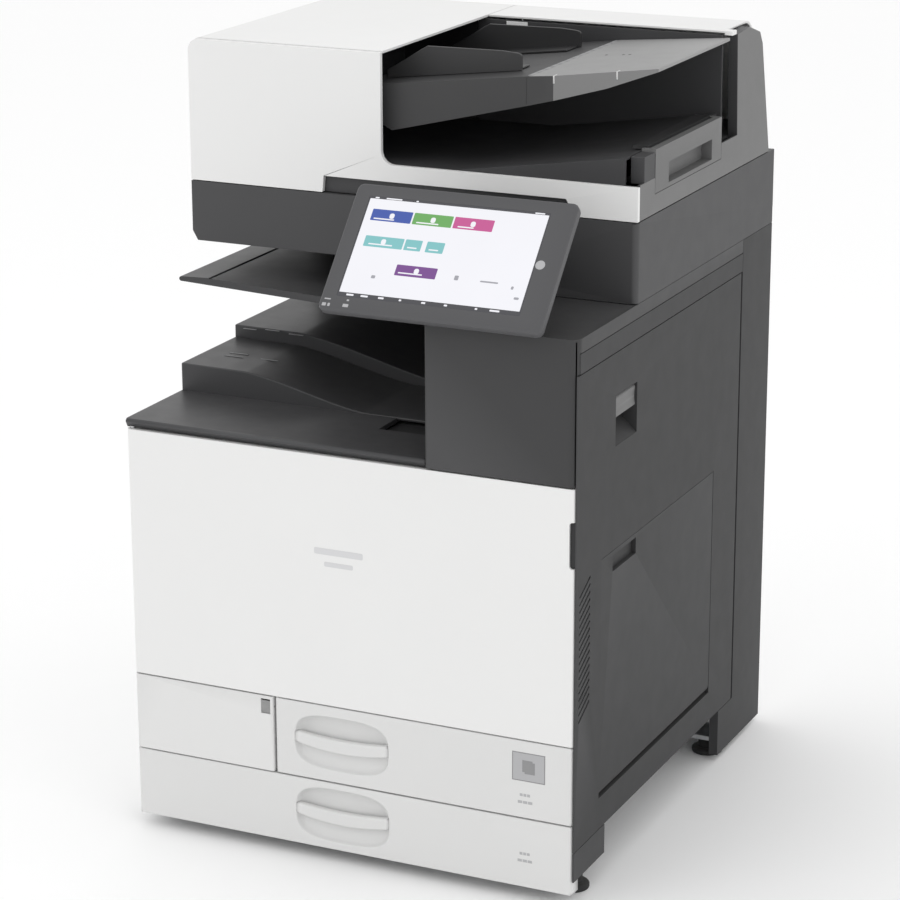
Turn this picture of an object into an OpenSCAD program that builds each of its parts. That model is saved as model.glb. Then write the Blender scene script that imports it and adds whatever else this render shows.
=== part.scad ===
// Free-standing A3 multifunction copier with a single-pass document feeder and two paper trays.
// Millimetres, +Z up, front towards -Y, origin on the floor under the middle of the outer box.

/* [Overall size] */
// Width across the side covers
body_w = 587; // [580:1:600]
// Depth from the lower edge of the operation panel to the rear cover
overall_d = 685; // [680:1:700]
// Depth of the body without the panel
body_d = 648; // [644:1:652]
// Height from the floor to the top of the document feeder
overall_h = 963; // [958:1:970]

/* [Front] */
// Height of the lower edge of the bottom tray front
tray2_z = 17.4; // [15:0.2:20]
// Height of the seam between the two trays
tray_seam_z = 104.9; // [102:0.1:107]
// Height of the seam between the upper tray and the front cover
cover_seam_z = 203.6; // [201:0.1:206]
// Height of the seam between the front cover and the output deck
deck_seam_z = 518; // [516:1:520]
// Width of the fixed panel left of the upper tray
left_panel_w = 192.5; // [185:0.5:200]
// Depth of the drawer fronts and the front cover
front_t = 20; // [18:1:22]
// Width of a tray's handle recess
handle_w = 125; // [110:1:135]
// Height of a tray's handle recess
handle_h = 68; // [60:1:70]

/* [Output cavity] */
// Left face of the exit block
exit_x = 104; // [100:1:110]
// Top of the exit block
exit_top_z = 691; // [688:1:692]
// Flat top of the output deck
deck_z = 530; // [528:1:532]
// Top of the first step at its left end
step1_z = 565; // [560:1:570]
// Top of the second step at its left end
step2_z = 581; // [576:1:586]
// Front face of the cavity's rear wall
cavity_rear_y = 190; // [185:1:200]

/* [Scanner and feeder] */
// Front face of the scanner and the document feeder
scan_y = -132; // [-135:1:-129]
// Lower edge of the scanner
scan_z = 713; // [711:1:715]
// Top of the scanner
scan_top_z = 787.4; // [786:0.2:788]
// Right edge of the feeder cover
feed_x = -34; // [-38:1:-30]
// Height of the white band under the feeder's opening
band_z = 829; // [826:1:831]

/* [Right side] */
// Lower edge of the right door
door_z = 72; // [70:1:76]
// Upper edge of the right door
door_top_z = 649; // [646:1:650]
// Rear edge of the right door
door_rear_y = 233; // [230:1:236]
// Lower edge of the folded bypass tray
bypass_z = 112.5; // [110:0.5:116]
// Upper edge of the folded bypass tray
bypass_top_z = 410.5; // [404:0.5:414]

/* [Operation panel] */
// Width of the panel housing
panel_w = 276; // [270:1:282]
// Height of the panel housing along its face
panel_h = 167; // [160:1:170]
// Thickness of the panel housing
panel_t = 24; // [22:1:26]
// Lean of the panel's face from upright
panel_lean = 42; // [40:1:45]

/* [Hidden] */
$fn = 48;

// --- shared places -------------------------------------------------------------------------
x_r = body_w / 2;
x_l = -x_r;
y_b = overall_d / 2;
y_f = y_b - body_d;
skin = 3;
gap = 1;
front_back_y = y_f + front_t;
front_x_r = x_r - 2.3;
front_draft = 2.6;
frame_y = y_f + 26.5;
frame_rear_y = y_b - 9.5;
left_skin_y = front_back_y + 2;
tray1_x = x_l + left_panel_w + 2;
handle_x = -9;
edge_r = 6;
// Upright axis of the front cover and of the right door
cover_axis = [x_l + edge_r, y_f + edge_r];
door_edge_r = 5;
door_axis = [x_r - door_edge_r, door_rear_y - door_edge_r];
pin_r = 2.5;
door_pin_r = 1.8;
running = 0.05;
// Power switch: its rocking axis and the sides of its opening
switch_axis = [y_f + 4.6, 189];
switch_x = [-117, -105];
switch_pin_r = 1.3;
// Paper trays
tub_rear_y = 285;
tub_wall = 2.5;
shelf_z = tray_seam_z - 0.6;
engine_z = cover_seam_z + 1.4;
engine_rear_y = 200;
riser_z = scan_z - skin;
inner_wall_x = 236;
tray2_wall_x = 195;
inlet_x = [-261, -209];
// Rollers
shaft_r = 4;
feed1 = [205, 182];
feed2 = [173, 84];
exit_roll = [118, 597];
exit_roll_r = 9;
feed_roll_r = 12;
// Right door
door_inner_x = 250;
door_front_y = y_f + 1;
pocket_x = 256;
bypass_y0 = -229;
bypass_y1 = 142;
bypass_axis = [x_r - 10, bypass_z + 9.7];
bypass_in_x = 275;
latch_y0 = -191;
latch_y1 = -125;
latch_z0 = 537;
latch_z1 = 598;
latch_axis = [285.5, 591];
latch_pin_r = 2;
// Scanner
glass_t = 3;
rail_y = [-70, 270];
rail_r = 4;
carriage_x = -235;
// Document feeder
adf_z = scan_top_z + 1.2;
adf_rear_y = 322;
adf_base_rear_y = 303;
adf_lean = 0.24;
adf_inner_y = 176;
adf_skin_y = scan_y + 6.5;
adf_axis = [330, adf_z + 6];
cover_pivot = [x_l + 10, 862];
table_axis = [-60, 902];
table_y0 = -108;
table_y1 = 172;
pickup_axis = [-105, 946];
exit_floor_x = 60;
exit_end_x = 275;
exit_rise_z = 861;
ext_y0 = -78;
ext_y1 = 143;
stopper_axis = [279.4, 861.2];
// Operation panel: middle of its face
panel_x = 125;
panel_mid = [panel_x, -y_b + panel_h / 2 * sin(panel_lean), 766.3];
screen_w = 224;
screen_h = 132;
screen_du = -5.8;
screen_dv = -3.5;
// Tilt axis of the panel, measured up along its face and in behind it
panel_axis_up = 25;
panel_axis_in = 64;
panel_axis = [
    panel_mid[1] + panel_axis_up * sin(panel_lean) + panel_axis_in * cos(panel_lean),
    panel_mid[2] + panel_axis_up * cos(panel_lean) - panel_axis_in * sin(panel_lean)];
key_du = 114;
key_dv = 0;

// --- shared shapes -------------------------------------------------------------------------
function arc(cx, cy, r, a0, a1, n = 6) =
    [for (i = [0:n]) [cx + r * cos(a0 + (a1 - a0) * i / n), cy + r * sin(a0 + (a1 - a0) * i / n)]];

// Points of a box outline with one corner radius
function round_box(x0, x1, y0, y1, r) = concat(
    arc(x1 - r, y0 + r, r, -90, 0), arc(x1 - r, y1 - r, r, 0, 90),
    arc(x0 + r, y1 - r, r, 90, 180), arc(x0 + r, y0 + r, r, 180, 270));

// Points of an oval that is fuller than an ellipse
function full_oval(cx, cy, w, h, n = 36) = [for (i = [0:n - 1])
    let (a = 360 * i / n, c = cos(a), s = sin(a))
    [cx + w / 2 * sign(c) * pow(abs(c), 0.62), cy + h / 2 * sign(s) * pow(abs(s), 0.62)]];

module block(x0, x1, y0, y1, z0, z1) {
    translate([x0, y0, z0]) cube([x1 - x0, y1 - y0, z1 - z0]);
}

module along_x(x0, x1) {
    translate([x0, 0, 0]) rotate([90, 0, 90]) linear_extrude(x1 - x0) children();
}

module along_y(y0, y1) {
    translate([0, y1, 0]) rotate([90, 0, 0]) linear_extrude(y1 - y0) children();
}

module along_z(z0, z1) {
    translate([0, 0, z0]) linear_extrude(z1 - z0) children();
}

module rod_x(x0, x1, y, z, r) {
    translate([x0, y, z]) rotate([0, 90, 0]) cylinder(h = x1 - x0, r = r);
}

module rod_y(x, y0, y1, z, r) {
    translate([x, y0, z]) rotate([-90, 0, 0]) cylinder(h = y1 - y0, r = r);
}

module rod_z(x, y, z0, z1, r) {
    translate([x, y, z0]) cylinder(h = z1 - z0, r = r);
}

// Moulded front between two x and two z values, hollow from behind, with rounded upright edges.
// Its right side leans in by the draft, so that it clears the right door's lip
module moulded_front(x0, x1, z0, z1, r_left, r_right, draft) {
    difference() {
        along_z(z0, z1) polygon(concat(
            [[x1 - draft, front_back_y], [x0, front_back_y]],
            arc(x0 + r_left, y_f + r_left, r_left, 180, 270),
            arc(x1 - r_right, y_f + r_right, r_right, -90, 0)));
        block(x0 + skin, x1 - skin - draft, y_f + skin, y_b, z0 + skin, z1 - skin);
    }
}

// Drawer front with a bowl-shaped handle recess and a curved grip across it
module drawer_front(x0, z0, z1) {
    hz = (z0 + z1) / 2 + 1;
    difference() {
        union() {
            moulded_front(x0, front_x_r, z0, z1, edge_r, 4, front_draft);
            along_y(y_f + skin, front_back_y) polygon(full_oval(handle_x, hz, handle_w + 5, handle_h + 5));
        }
        along_y(y_f - 1, front_back_y - 2) polygon(full_oval(handle_x, hz, handle_w, handle_h));
    }
    drawer_grip(hz);
}

// Grip that bows down across a handle recess
module drawer_grip(hz) {
    top = [for (i = [0:12]) let (t = i / 6 - 1) [handle_x + t * handle_w * 0.505, hz + 5 + 4 * t * t]];
    low = [for (i = [12:-1:0]) let (t = i / 6 - 1) [handle_x + t * handle_w * 0.505, hz - 12 + 7 * t * t]];
    along_y(y_f, y_f + 9) polygon(concat(top, low));
}

// Open box that holds the paper, with a floor and four walls
module paper_tub(x0, x1, z0, z1) {
    difference() {
        block(x0, x1, front_back_y, tub_rear_y, z0, z1);
        block(x0 + tub_wall, x1 - tub_wall, front_back_y + 8, tub_rear_y - tub_wall, z0 + tub_wall, z1 + 1);
    }
}

// Plate that lifts the stack, hinged on a rod at its left end
module lift_plate(x0, x1, y0, y1, z) {
    block(x0 + 4, x1, y0, y1, z, z + 1.5);
    rod_y(x0 + 4, y0 - 4, y1 + 4, z + 2, 2);
}

// Cross bearing ears that hang from a shelf and carry a roller's shaft
module hanging_ears(x, z, z_top, y0, y1) {
    for (y = [y0 - 6, y1 + 2]) difference() {
        block(x - 8, x + 8, y, y + 4, z - 8, z_top);
        rod_y(x, y - 1, y + 5, z, shaft_r + running);
    }
}

// Shaft with two rubber sleeves
module roller(x, z, y0, y1, r, sleeve) {
    rod_y(x, y0 - 6, y1 + 6, z, shaft_r);
    for (y = [y0, y1 - sleeve]) rod_y(x, y, y + sleeve, z, r);
}

// --- chassis -------------------------------------------------------------------------------
screw_r = 2;
screw_head_r = 4;
screw_spots = [for (x = [-270, 0, 270], z = [60, 360, 680]) [x, z]];

module base_frame() {
    color("silver") {
        block(x_l + 9, tray2_wall_x + skin, frame_y, frame_rear_y, 24, 27);
        for (y = [-268, 190]) block(x_l + 9, x_r - 9, y, y + 46, 24, 30);
        block(x_l + 6, x_l + 9, frame_y, frame_rear_y, 24, 516);
        difference() {
            block(x_l + 6, x_r - 6, frame_rear_y, frame_rear_y + skin, 24, riser_z);
            for (s = screw_spots) rod_y(s[0], frame_rear_y - 1, frame_rear_y + 4, s[1], screw_r + 0.1);
            block(inlet_x[0] - 1, inlet_x[1] + 1, frame_rear_y - 1, frame_rear_y + 4, 84, 134);
        }
        block(tray2_wall_x, tray2_wall_x + skin, frame_y, frame_rear_y, 27, shelf_z);
        difference() {
            block(x_l + 9, inner_wall_x, frame_y, frame_rear_y, shelf_z, shelf_z + 2);
            block(
                inlet_x[0] - 4, inlet_x[1] + 4, frame_rear_y - 10, frame_rear_y + 1,
                shelf_z - 1, shelf_z + 3);
        }
        block(tray1_x - 6, tray1_x - 3, frame_y, frame_rear_y, shelf_z + 2, engine_z);
        block(x_l + 9, inner_wall_x, frame_y, frame_rear_y, engine_z, engine_z + skin);
        block(inner_wall_x, inner_wall_x + skin, frame_y, frame_rear_y, shelf_z, 513);
        block(x_l + 9, inner_wall_x + skin, frame_y, frame_rear_y, 513, 516);
        block(x_l + 9, inner_wall_x, engine_rear_y, engine_rear_y + skin, engine_z + skin, 513);
        block(x_l + 6, x_l + 9, cavity_rear_y + 8, frame_rear_y, 516, riser_z);
        block(x_l + 6, x_r - 6, cavity_rear_y + 8, frame_rear_y + skin, riser_z, scan_z);
        block(150, 153, scan_y + 8, cavity_rear_y + 8, 516, riser_z);
        block(150, x_r - 6, scan_y + 8, cavity_rear_y + 8, riser_z, scan_z);
        hanging_ears(feed1[0], feed1[1], engine_z, -60, 60);
        hanging_ears(feed2[0], feed2[1], shelf_z, -60, 60);
        for (y = [-176, 142]) difference() {
            block(exit_roll[0] - 6, 150, y, y + 4, exit_roll[1] - 10, exit_roll[1] + 10);
            rod_y(exit_roll[0], y - 1, y + 5, exit_roll[1], shaft_r + running);
        }
        for (y = [-176, 142]) block(146, 150, y, y + 4, 516, exit_roll[1] - 10);
        block(146, 153, -176, scan_y + 12, 516, 520);
    }
}

module levelling_feet() {
    color("dimgray")
        for (x = [-1, 1], y = [-245, 213]) {
            rod_z(x * 268, y, 0, 8, 20);
            rod_z(x * 268, y, 8, 24, 13);
        }
}

module hinge_pins() {
    color("gray") {
        rod_z(cover_axis[0], cover_axis[1], 194, 214, pin_r);
        block(cover_axis[0] - 2.5, cover_axis[0] + 3.5, cover_axis[1] - 2.5, frame_y, 190, 195);
        rod_z(cover_axis[0], cover_axis[1], 506, 520, pin_r);
        block(cover_axis[0] - 2.5, cover_axis[0] + 3.5, cover_axis[1] - 2.5, frame_y + 8, 519.5, 524);
        block(cover_axis[0] + 3.5, cover_axis[0] + 12, frame_y + 2, frame_y + 8, 516, 524);
        rod_z(door_axis[0], door_axis[1], 62, 82, door_pin_r);
        block(tray2_wall_x + skin, door_axis[0] + 1.8, door_axis[1] - 4, door_axis[1] + 4, 60, 66);
        rod_z(door_axis[0], door_axis[1], 640, 656, door_pin_r);
        block(door_axis[0] - 6, door_axis[0] + 1.8, door_axis[1] - 3, frame_rear_y, 654, 660);
    }
}

module cover_screws() {
    color("lightgray")
        for (s = screw_spots) {
            rod_y(s[0], frame_rear_y - 6, y_b - 1.5, s[1], screw_r);
            rod_y(s[0], y_b - 1.5, y_b - 0.2, s[1], screw_head_r);
        }
}

// --- outer covers --------------------------------------------------------------------------
module left_cover() {
    color("gainsboro")
        difference() {
            union() {
                block(x_l, x_l + skin, left_skin_y, y_b, 30, 516);
                block(x_l, x_l + skin, cavity_rear_y + 4, y_b, 516, scan_z - 1.5);
            }
            for (i = [0:13]) block(x_l - 1, x_l + 4, 180, 260, 110 + i * 8, 113.5 + i * 8);
            for (i = [0:13]) block(x_l - 1, x_l + 4, -200, -120, 400 + i * 7, 403 + i * 7);
        }
}

module rear_cover() {
    color("gainsboro")
        difference() {
            block(x_l + 3.5, x_r - 3.5, y_b - skin, y_b, 30, scan_z - 1.5);
            for (s = screw_spots) {
                rod_y(s[0], y_b - 4, y_b + 1, s[1], screw_r + 0.2);
                rod_y(s[0], y_b - 1.6, y_b + 1, s[1], screw_head_r + 0.2);
            }
            block(inlet_x[0] - 1, inlet_x[1] + 1, y_b - 4, y_b + 1, 84, 134);
            block(59, 241, y_b - 4, y_b + 1, 399, 621);
            for (i = [0:15]) block(-220, -90, y_b - 4, y_b + 1, 420 + i * 10, 424 + i * 10);
            for (i = [0:11]) block(60, 220, y_b - 4, y_b + 1, 120 + i * 10, 124 + i * 10);
        }
}

// Sockets lie in blind pockets of this plate
module interface_panel() {
    back = y_b - 5.5;
    color("darkgray")
        difference() {
            block(60, 240, frame_rear_y + skin, y_b - 3.2, 400, 620);
            for (z = [560, 530]) block(80, 96, back, y_b, z, z + 13);
            for (z = [500, 480]) block(80, 94, back, y_b, z, z + 6.5);
            block(120, 156, back, y_b, 540, 558);
            block(180, 220, back, y_b, 430, 590);
            for (i = [0:5]) block(80, 160, back, y_b, 414 + i * 8, 417 + i * 8);
        }
}

module power_inlet() {
    color("black") {
        difference() {
            block(inlet_x[0], inlet_x[1], y_b - 18, y_b - 0.5, 85, 133);
            block(-247, -223, y_b - 16, y_b + 1, 100.7, 117.3);
        }
        for (p = [[-242, 104], [-235, 110], [-228, 104]])
            block(p[0] - 1, p[0] + 1, y_b - 17, y_b - 8, p[1], p[1] + 4);
    }
}

module left_lower_panel() {
    color("white")
        difference() {
            union() {
                moulded_front(x_l, tray1_x - 2, tray_seam_z + gap, cover_seam_z - gap, edge_r, 2, 0);
                block(switch_x[0] - 4, switch_x[0] - 1, y_f + 1, y_f + 12, 184, 194);
            }
            rod_z(cover_axis[0], cover_axis[1], cover_seam_z - 8, cover_seam_z + 2, pin_r + 0.6);
            block(
                switch_x[0] - 0.3, switch_x[1] + 0.3, y_f - 1, y_f + 4,
                switch_axis[1] - 9.3, switch_axis[1] + 9.8);
            rod_x(switch_x[0] - 3.8, switch_x[1] + 5, switch_axis[0], switch_axis[1], switch_pin_r + running);
        }
}

module power_switch() {
    y = switch_axis[0];
    z = switch_axis[1];
    color("darkgray") {
        along_x(switch_x[0], switch_x[1]) polygon([
            [y - 3.2, z - 8.6], [y - 3.8, z], [y - 5, z + 8.2], [y + 3, z + 5], [y + 3, z - 5]]);
        rod_x(switch_x[0] - 3.5, switch_x[1] + 4, y, z, switch_pin_r);
    }
}

// Dark foot of the right side, in front of the gap under the door
module right_lower_cover() {
    color("dimgray")
        difference() {
            block(262, x_r, y_f + 1, -209, 34, door_z - gap);
            block(258, x_r - 1.8, y_f - 1, front_back_y + 2, 30, door_z + 2);
            block(266, x_r - skin, front_back_y + 1, -213, 30, door_z - 5);
        }
}

module right_rear_cover() {
    color("dimgray")
        difference() {
            union() {
                block(x_r - 30, x_r, door_rear_y + 1, y_b - 0.5, 9, exit_top_z);
                block(x_r - 30, x_r, 182, door_rear_y + 2, 9, door_z - gap);
            }
            block(x_r - 40, x_r - skin, door_rear_y + 5, y_b + 1, -1, exit_top_z + 2);
            block(x_r - 40, x_r - skin, 186, door_rear_y + 6, -1, door_z + 20);
            block(x_r - 40, x_r - 12, 170, y_b + 1, -1, exit_top_z + 2);
            block(x_r - 40, x_r - skin, door_rear_y, door_rear_y + 6, 640, exit_top_z + 2);
        }
}

// Strip between the top of the door and the shelf over the exit block
module right_upper_cover() {
    color("dimgray")
        block(x_r - skin, x_r, y_f + 8, door_rear_y, door_top_z + gap, exit_top_z - 17.5);
}

// --- output cavity -------------------------------------------------------------------------
// Height of a step's top along x: level at its left end, then a smooth fall to the deck
function step_profile(z_left, x_flat, x_low, z_low) = concat(
    [[x_l, deck_z - 6], [x_l, z_left], [x_flat, z_left - 1]],
    [for (i = [1:9]) let (t = i / 10, s = t * t * (3 - 2 * t))
        [x_flat + (x_low - x_flat) * t, z_left - 1 + (z_low - z_left + 1) * (s + t) / 2]],
    [[x_low, z_low], [exit_x - 1, z_low], [exit_x - 1, deck_z - 6]]);

module output_deck() {
    color("dimgray")
        difference() {
            union() {
                along_x(x_l, exit_x - 0.5) polygon(concat(
                    [[cavity_rear_y - 0.5, deck_seam_z + gap], [cavity_rear_y - 0.5, deck_z]],
                    arc(y_f + 4, deck_z - 4, 4, 90, 180),
                    [[y_f, deck_seam_z + gap]]));
                along_y(-170, -32) polygon(step_profile(step1_z, -205, -40, deck_z + 1));
                along_y(-32.5, cavity_rear_y - 0.5) polygon(step_profile(step2_z, -200, 20, deck_z + 4));
            }
            block(x_l + skin, exit_x - 3.5, y_f + skin, cavity_rear_y - 4, 516, deck_z - 3);
        }
}

module exit_block_cover() {
    color("dimgray")
        difference() {
            along_z(deck_seam_z + gap, exit_top_z) polygon(concat(
                [[exit_x, cavity_rear_y - 0.5], [exit_x, y_f + 3]],
                arc(exit_x + 3, y_f + 3, 3, 180, 270),
                arc(x_r - 12, y_f + 12, 12, -90, 0),
                [[x_r, scan_y - 0.6], [exit_x + skin, scan_y - 0.6], [exit_x + skin, cavity_rear_y - 0.5]]));
            block(exit_x + skin, x_r - skin, y_f + skin, scan_y + 5, 510, exit_top_z - skin);
            block(x_r - 9, x_r + 1, y_f + 7.5, scan_y + 5, 510, exit_top_z - 16.5);
            block(front_x_r, x_r + 1, y_f - 1, scan_y, 510, door_top_z + gap);
            block(exit_x - 1, exit_x + 5, -170, 140, exit_roll[1] - 13, exit_roll[1] + 13);
            block(exit_x - 1, exit_x + 5, scan_y - 1, 200, exit_top_z - 0.5, exit_top_z + 1);
        }
    color("dimgray") block(x_r - skin, x_r, scan_y - 1, door_rear_y, exit_top_z - 16.5, exit_top_z);
}

module inner_rear_cover() {
    color("dimgray") {
        block(x_l + 3.5, exit_x + 40, cavity_rear_y, cavity_rear_y + skin, deck_seam_z + gap, scan_z - 4.5);
    }
}

// Thin tray under the scanner, a little lower at its right end
module internal_tray() {
    color("dimgray") {
        along_y(-169, cavity_rear_y - 0.5) polygon(concat(
            [[exit_x, 660], [exit_x, 655], [-60, 659]],
            arc(x_l + 3, 672, 3, 250, 90, 5),
            [[-252, 676.5], [-251, 675], [-249, 675], [-248, 676]]));
        block(-20, exit_x, 90, cavity_rear_y - 0.5, 659, 680);
    }
}

module exit_roller() {
    color("black") {
        rod_y(exit_roll[0], -174, 146, exit_roll[1], shaft_r);
        for (y = [-150, -70, 10, 90]) rod_y(exit_roll[0], y, y + 24, exit_roll[1], exit_roll_r);
    }
}

// --- inside the engine ---------------------------------------------------------------------
bottle_x = [-215, -115, -15, 85];
bottle_z = 420;
bottle_r = 28;

module inner_front_panel() {
    color("lightgray")
        difference() {
            block(x_l + 12, inner_wall_x - 4, frame_y - skin, frame_y, engine_z + 1, 512);
            for (x = bottle_x) rod_y(x, frame_y - 5, frame_y + 2, bottle_z, bottle_r + 3);
            block(-262, -130, frame_y - 5, frame_y + 2, engine_z, 322);
        }
}

module toner_bottles() {
    color("gray")
        for (x = bottle_x) {
            rod_y(x, frame_y + 2, engine_rear_y, bottle_z, bottle_r);
            rod_y(x, frame_y - 4, frame_y + 2, bottle_z, bottle_r - 6);
        }
}

module transfer_unit() {
    color("black")
        along_y(-220, engine_rear_y) polygon(round_box(-230, 180, 335, 372, 18));
}

module fuser_unit() {
    color("darkgray")
        along_y(-220, engine_rear_y) polygon(round_box(138, 232, 440, 508, 10));
}

module laser_unit() {
    color("gray")
        block(-120, 200, -200, engine_rear_y, engine_z + skin, 300);
}

module waste_bottle() {
    color("white")
        block(-260, -132, frame_y - 2, -190, engine_z + skin, 320);
}

module power_supply() {
    color("green")
        block(x_l + 14, tray1_x - 12, -240, 240, shelf_z + 2, 190);
}

// --- front cover and trays -----------------------------------------------------------------
module front_cover() {
    color("white")
        difference() {
            union() {
                moulded_front(
                    x_l, front_x_r, cover_seam_z + gap, deck_seam_z - gap, edge_r, 4, front_draft);
                for (z = [[cover_seam_z + gap, 222], [498, deck_seam_z - gap]])
                    rod_z(cover_axis[0], cover_axis[1], z[0], z[1], 5.5);
                along_y(y_f + 1, front_back_y)
                    polygon(round_box(front_x_r - 12, front_x_r - 1 - front_draft, 418, 482, 3));
            }
            for (z = [[cover_seam_z, 216], [504, deck_seam_z]])
                rod_z(cover_axis[0], cover_axis[1], z[0], z[1], pin_r + running);
            along_y(y_f - 1, front_back_y + 1)
                polygon(round_box(front_x_r - 6.5, front_x_r + 6, 422, 478, 4));
            block(front_x_r - 4, front_x_r + 2, y_f - 1, front_back_y + 1, 422, 478);
        }
}

module tray1_front() {
    color("white") drawer_front(tray1_x, tray_seam_z + gap, cover_seam_z - gap);
}

module tray2_front() {
    color("white") drawer_front(x_l, tray2_z, tray_seam_z - gap);
}

module tray1_tub() {
    color("gray") paper_tub(tray1_x + 6, 190, 109, 168);
}

module tray2_tub() {
    color("gray") paper_tub(x_l + 16, 156, 33, 96);
}

module tray1_lift_plate() {
    color("silver") lift_plate(tray1_x + 20, 184, -250, 60, 112.5);
}

module tray2_lift_plate() {
    color("silver") lift_plate(x_l + 30, 150, -240, 50, 36.5);
}

module tray1_feed_roller() {
    color("black") roller(feed1[0], feed1[1], -60, 60, feed_roll_r, 26);
}

module tray2_feed_roller() {
    color("black") roller(feed2[0], feed2[1], -60, 60, feed_roll_r, 26);
}

// --- right door and bypass tray ------------------------------------------------------------
louvre_count = 18;

module right_door() {
    color("dimgray")
        difference() {
            union() {
                difference() {
                    along_z(door_z, door_top_z) polygon(concat(
                        [[door_inner_x, front_back_y + 2], [x_r - 1.8, front_back_y + 2]],
                        [[x_r - 1.8, door_front_y]],
                        [[x_r, door_front_y]],
                        arc(door_axis[0], door_axis[1], door_edge_r, 0, 90),
                        [[door_inner_x, door_rear_y]]));
                    block(
                        door_inner_x - 1, x_r - skin, front_back_y + 5, door_rear_y - 6,
                        door_z + skin, door_top_z - skin);
                }
                block(pocket_x - 2, x_r - 1, bypass_y0 - 5, bypass_y0 - 0.6, bypass_z - 6, bypass_top_z + 6);
                block(pocket_x - 2, x_r - 1, bypass_y1 + 0.6, bypass_y1 + 5, bypass_z - 6, bypass_top_z + 6);
                block(pocket_x - 2, pocket_x, bypass_y0 - 5, bypass_y1 + 5, bypass_z - 6, bypass_top_z + 6);
                for (z = [bypass_top_z + 0.8, bypass_z - 4])
                    block(pocket_x - 2, x_r - 1, bypass_y0 - 5, bypass_y1 + 5, z, z + 3.2);
                block(266, x_r - 1, latch_y0 - 3, latch_y1 + 3, latch_z0 - 3, latch_z1 + 3);
                for (z = [[door_z, 90], [632, door_top_z]])
                    rod_z(door_axis[0], door_axis[1], z[0], z[1], 4.9);
            }
            block(pocket_x, x_r + 1, bypass_y0 - 0.6, bypass_y1 + 0.6, bypass_z - 0.8, bypass_top_z + 0.8);
            rod_y(bypass_axis[0], bypass_y0 - 5, bypass_y0, bypass_axis[1], 3 + running);
            rod_y(bypass_axis[0], bypass_y1, bypass_y1 + 5, bypass_axis[1], 3 + running);
            along_y(latch_y0, latch_y1) polygon([
                [269, latch_z1], [x_r + 1, latch_z1], [x_r + 1, latch_z0], [x_r - 0.5, latch_z0],
                [269, latch_z0 + 22]]);
            rod_y(latch_axis[0], latch_y0 - 2.2, latch_y1 + 2.2, latch_axis[1], latch_pin_r + running);
            for (z = [[door_z - 1, 84], [638, door_top_z + 1]])
                rod_z(door_axis[0], door_axis[1], z[0], z[1], door_pin_r + running);
            for (i = [0:louvre_count - 1])
                translate([x_r, y_f + 27, 240 + i * 9]) rotate([28, 0, 0])
                    block(-4, 1, -18, 18, -1.6, 1.6);
        }
}

module door_latch() {
    color("gray") {
        along_y(latch_y0 + 0.5, latch_y1 - 0.5) polygon([
            [283, 588], [283, 572], [285, 569], [289.5, 569], [291, 572],
            [291, 592], [288.5, 595], [284, 595], [283, 593]]);
        rod_y(latch_axis[0], latch_y0 - 2, latch_y1 + 2, latch_axis[1], latch_pin_r);
    }
}

module bypass_tray() {
    color("dimgray") {
        difference() {
            along_y(bypass_y0, bypass_y1) polygon(concat(
                [[x_r - 0.3, bypass_axis[1]], [x_r - 0.3, bypass_top_z], [bypass_in_x, bypass_top_z]],
                [[bypass_in_x, bypass_axis[1]]],
                arc(bypass_axis[0], bypass_axis[1], bypass_axis[0] - bypass_in_x, 180, 270, 5),
                arc(bypass_axis[0], bypass_axis[1], 9.7, 270, 360, 6)));
            block(278, 287, bypass_y0 + 30, bypass_y1 - 30, 180, bypass_top_z + 1);
            block(287.5, x_r + 1, -194, -121, 385, 405);
            block(bypass_in_x - 1, 279, bypass_y0 + 20, bypass_y1 - 20, 240, 252);
        }
        rod_y(bypass_axis[0], bypass_y0 - 4.5, bypass_y0 + 1, bypass_axis[1], 3);
        rod_y(bypass_axis[0], bypass_y1 - 1, bypass_y1 + 4.5, bypass_axis[1], 3);
    }
}

module bypass_extension() {
    color("gray")
        difference() {
            block(278.2, 286.8, bypass_y0 + 31, bypass_y1 - 31, 262, bypass_top_z - 2);
            block(277, 288, -80, -10, 390, 400);
        }
}

// Fence that sets the paper's width on the bypass tray
module bypass_guide(y, side) {
    block(261, bypass_in_x - 0.4, y, y + 3, 200, 300);
    block(271, bypass_in_x - 0.4, min(y, y + side * 40), max(y, y + side * 40) + 3, 200, 238);
    block(bypass_in_x - 0.5, 277.5, y - 2, y + 5, 242, 250);
}

module bypass_guide_front() {
    color("gray") bypass_guide(-200, 1);
}

module bypass_guide_rear() {
    color("gray") bypass_guide(110, -1);
}

// --- scanner -------------------------------------------------------------------------------
module scanner_housing() {
    color("dimgray") {
        difference() {
            union() {
                along_y(scan_y, y_b) polygon(concat(
                    [[x_l + 7, scan_z], [x_l, scan_z + 12], [x_l, scan_top_z], [x_r, scan_top_z]],
                    [[x_r, scan_z]]));
                along_y(scan_y, scan_y + skin) polygon([
                    [exit_x, exit_top_z + 0.4], [x_r, exit_top_z + 0.4], [x_r, scan_z + 1],
                    [exit_x, scan_z + 1]]);
                block(x_r - skin, x_r, scan_y, y_b - 0.5, exit_top_z + 0.4, scan_z + 1);
                block(exit_x, exit_x + skin, scan_y, cavity_rear_y - 0.5, exit_top_z + 0.4, scan_z + 1);
            }
            block(x_l + skin, x_r - skin, scan_y + skin, y_b - skin, scan_z + skin, scan_top_z - 6);
            block(-252, 190, -105, 285, scan_top_z - 10, scan_top_z - glass_t);
            block(-280, -262, -105, 285, scan_top_z - 10, scan_top_z - glass_t);
            block(-254, 192, -107, 287, scan_top_z - glass_t - 0.1, scan_top_z + 1);
            block(-282, -260, -107, 287, scan_top_z - glass_t - 0.1, scan_top_z + 1);
        }
        for (y = rail_y) rod_x(x_l + skin - 1, x_r - skin + 1, y, 732, rail_r);
    }
}

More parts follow.
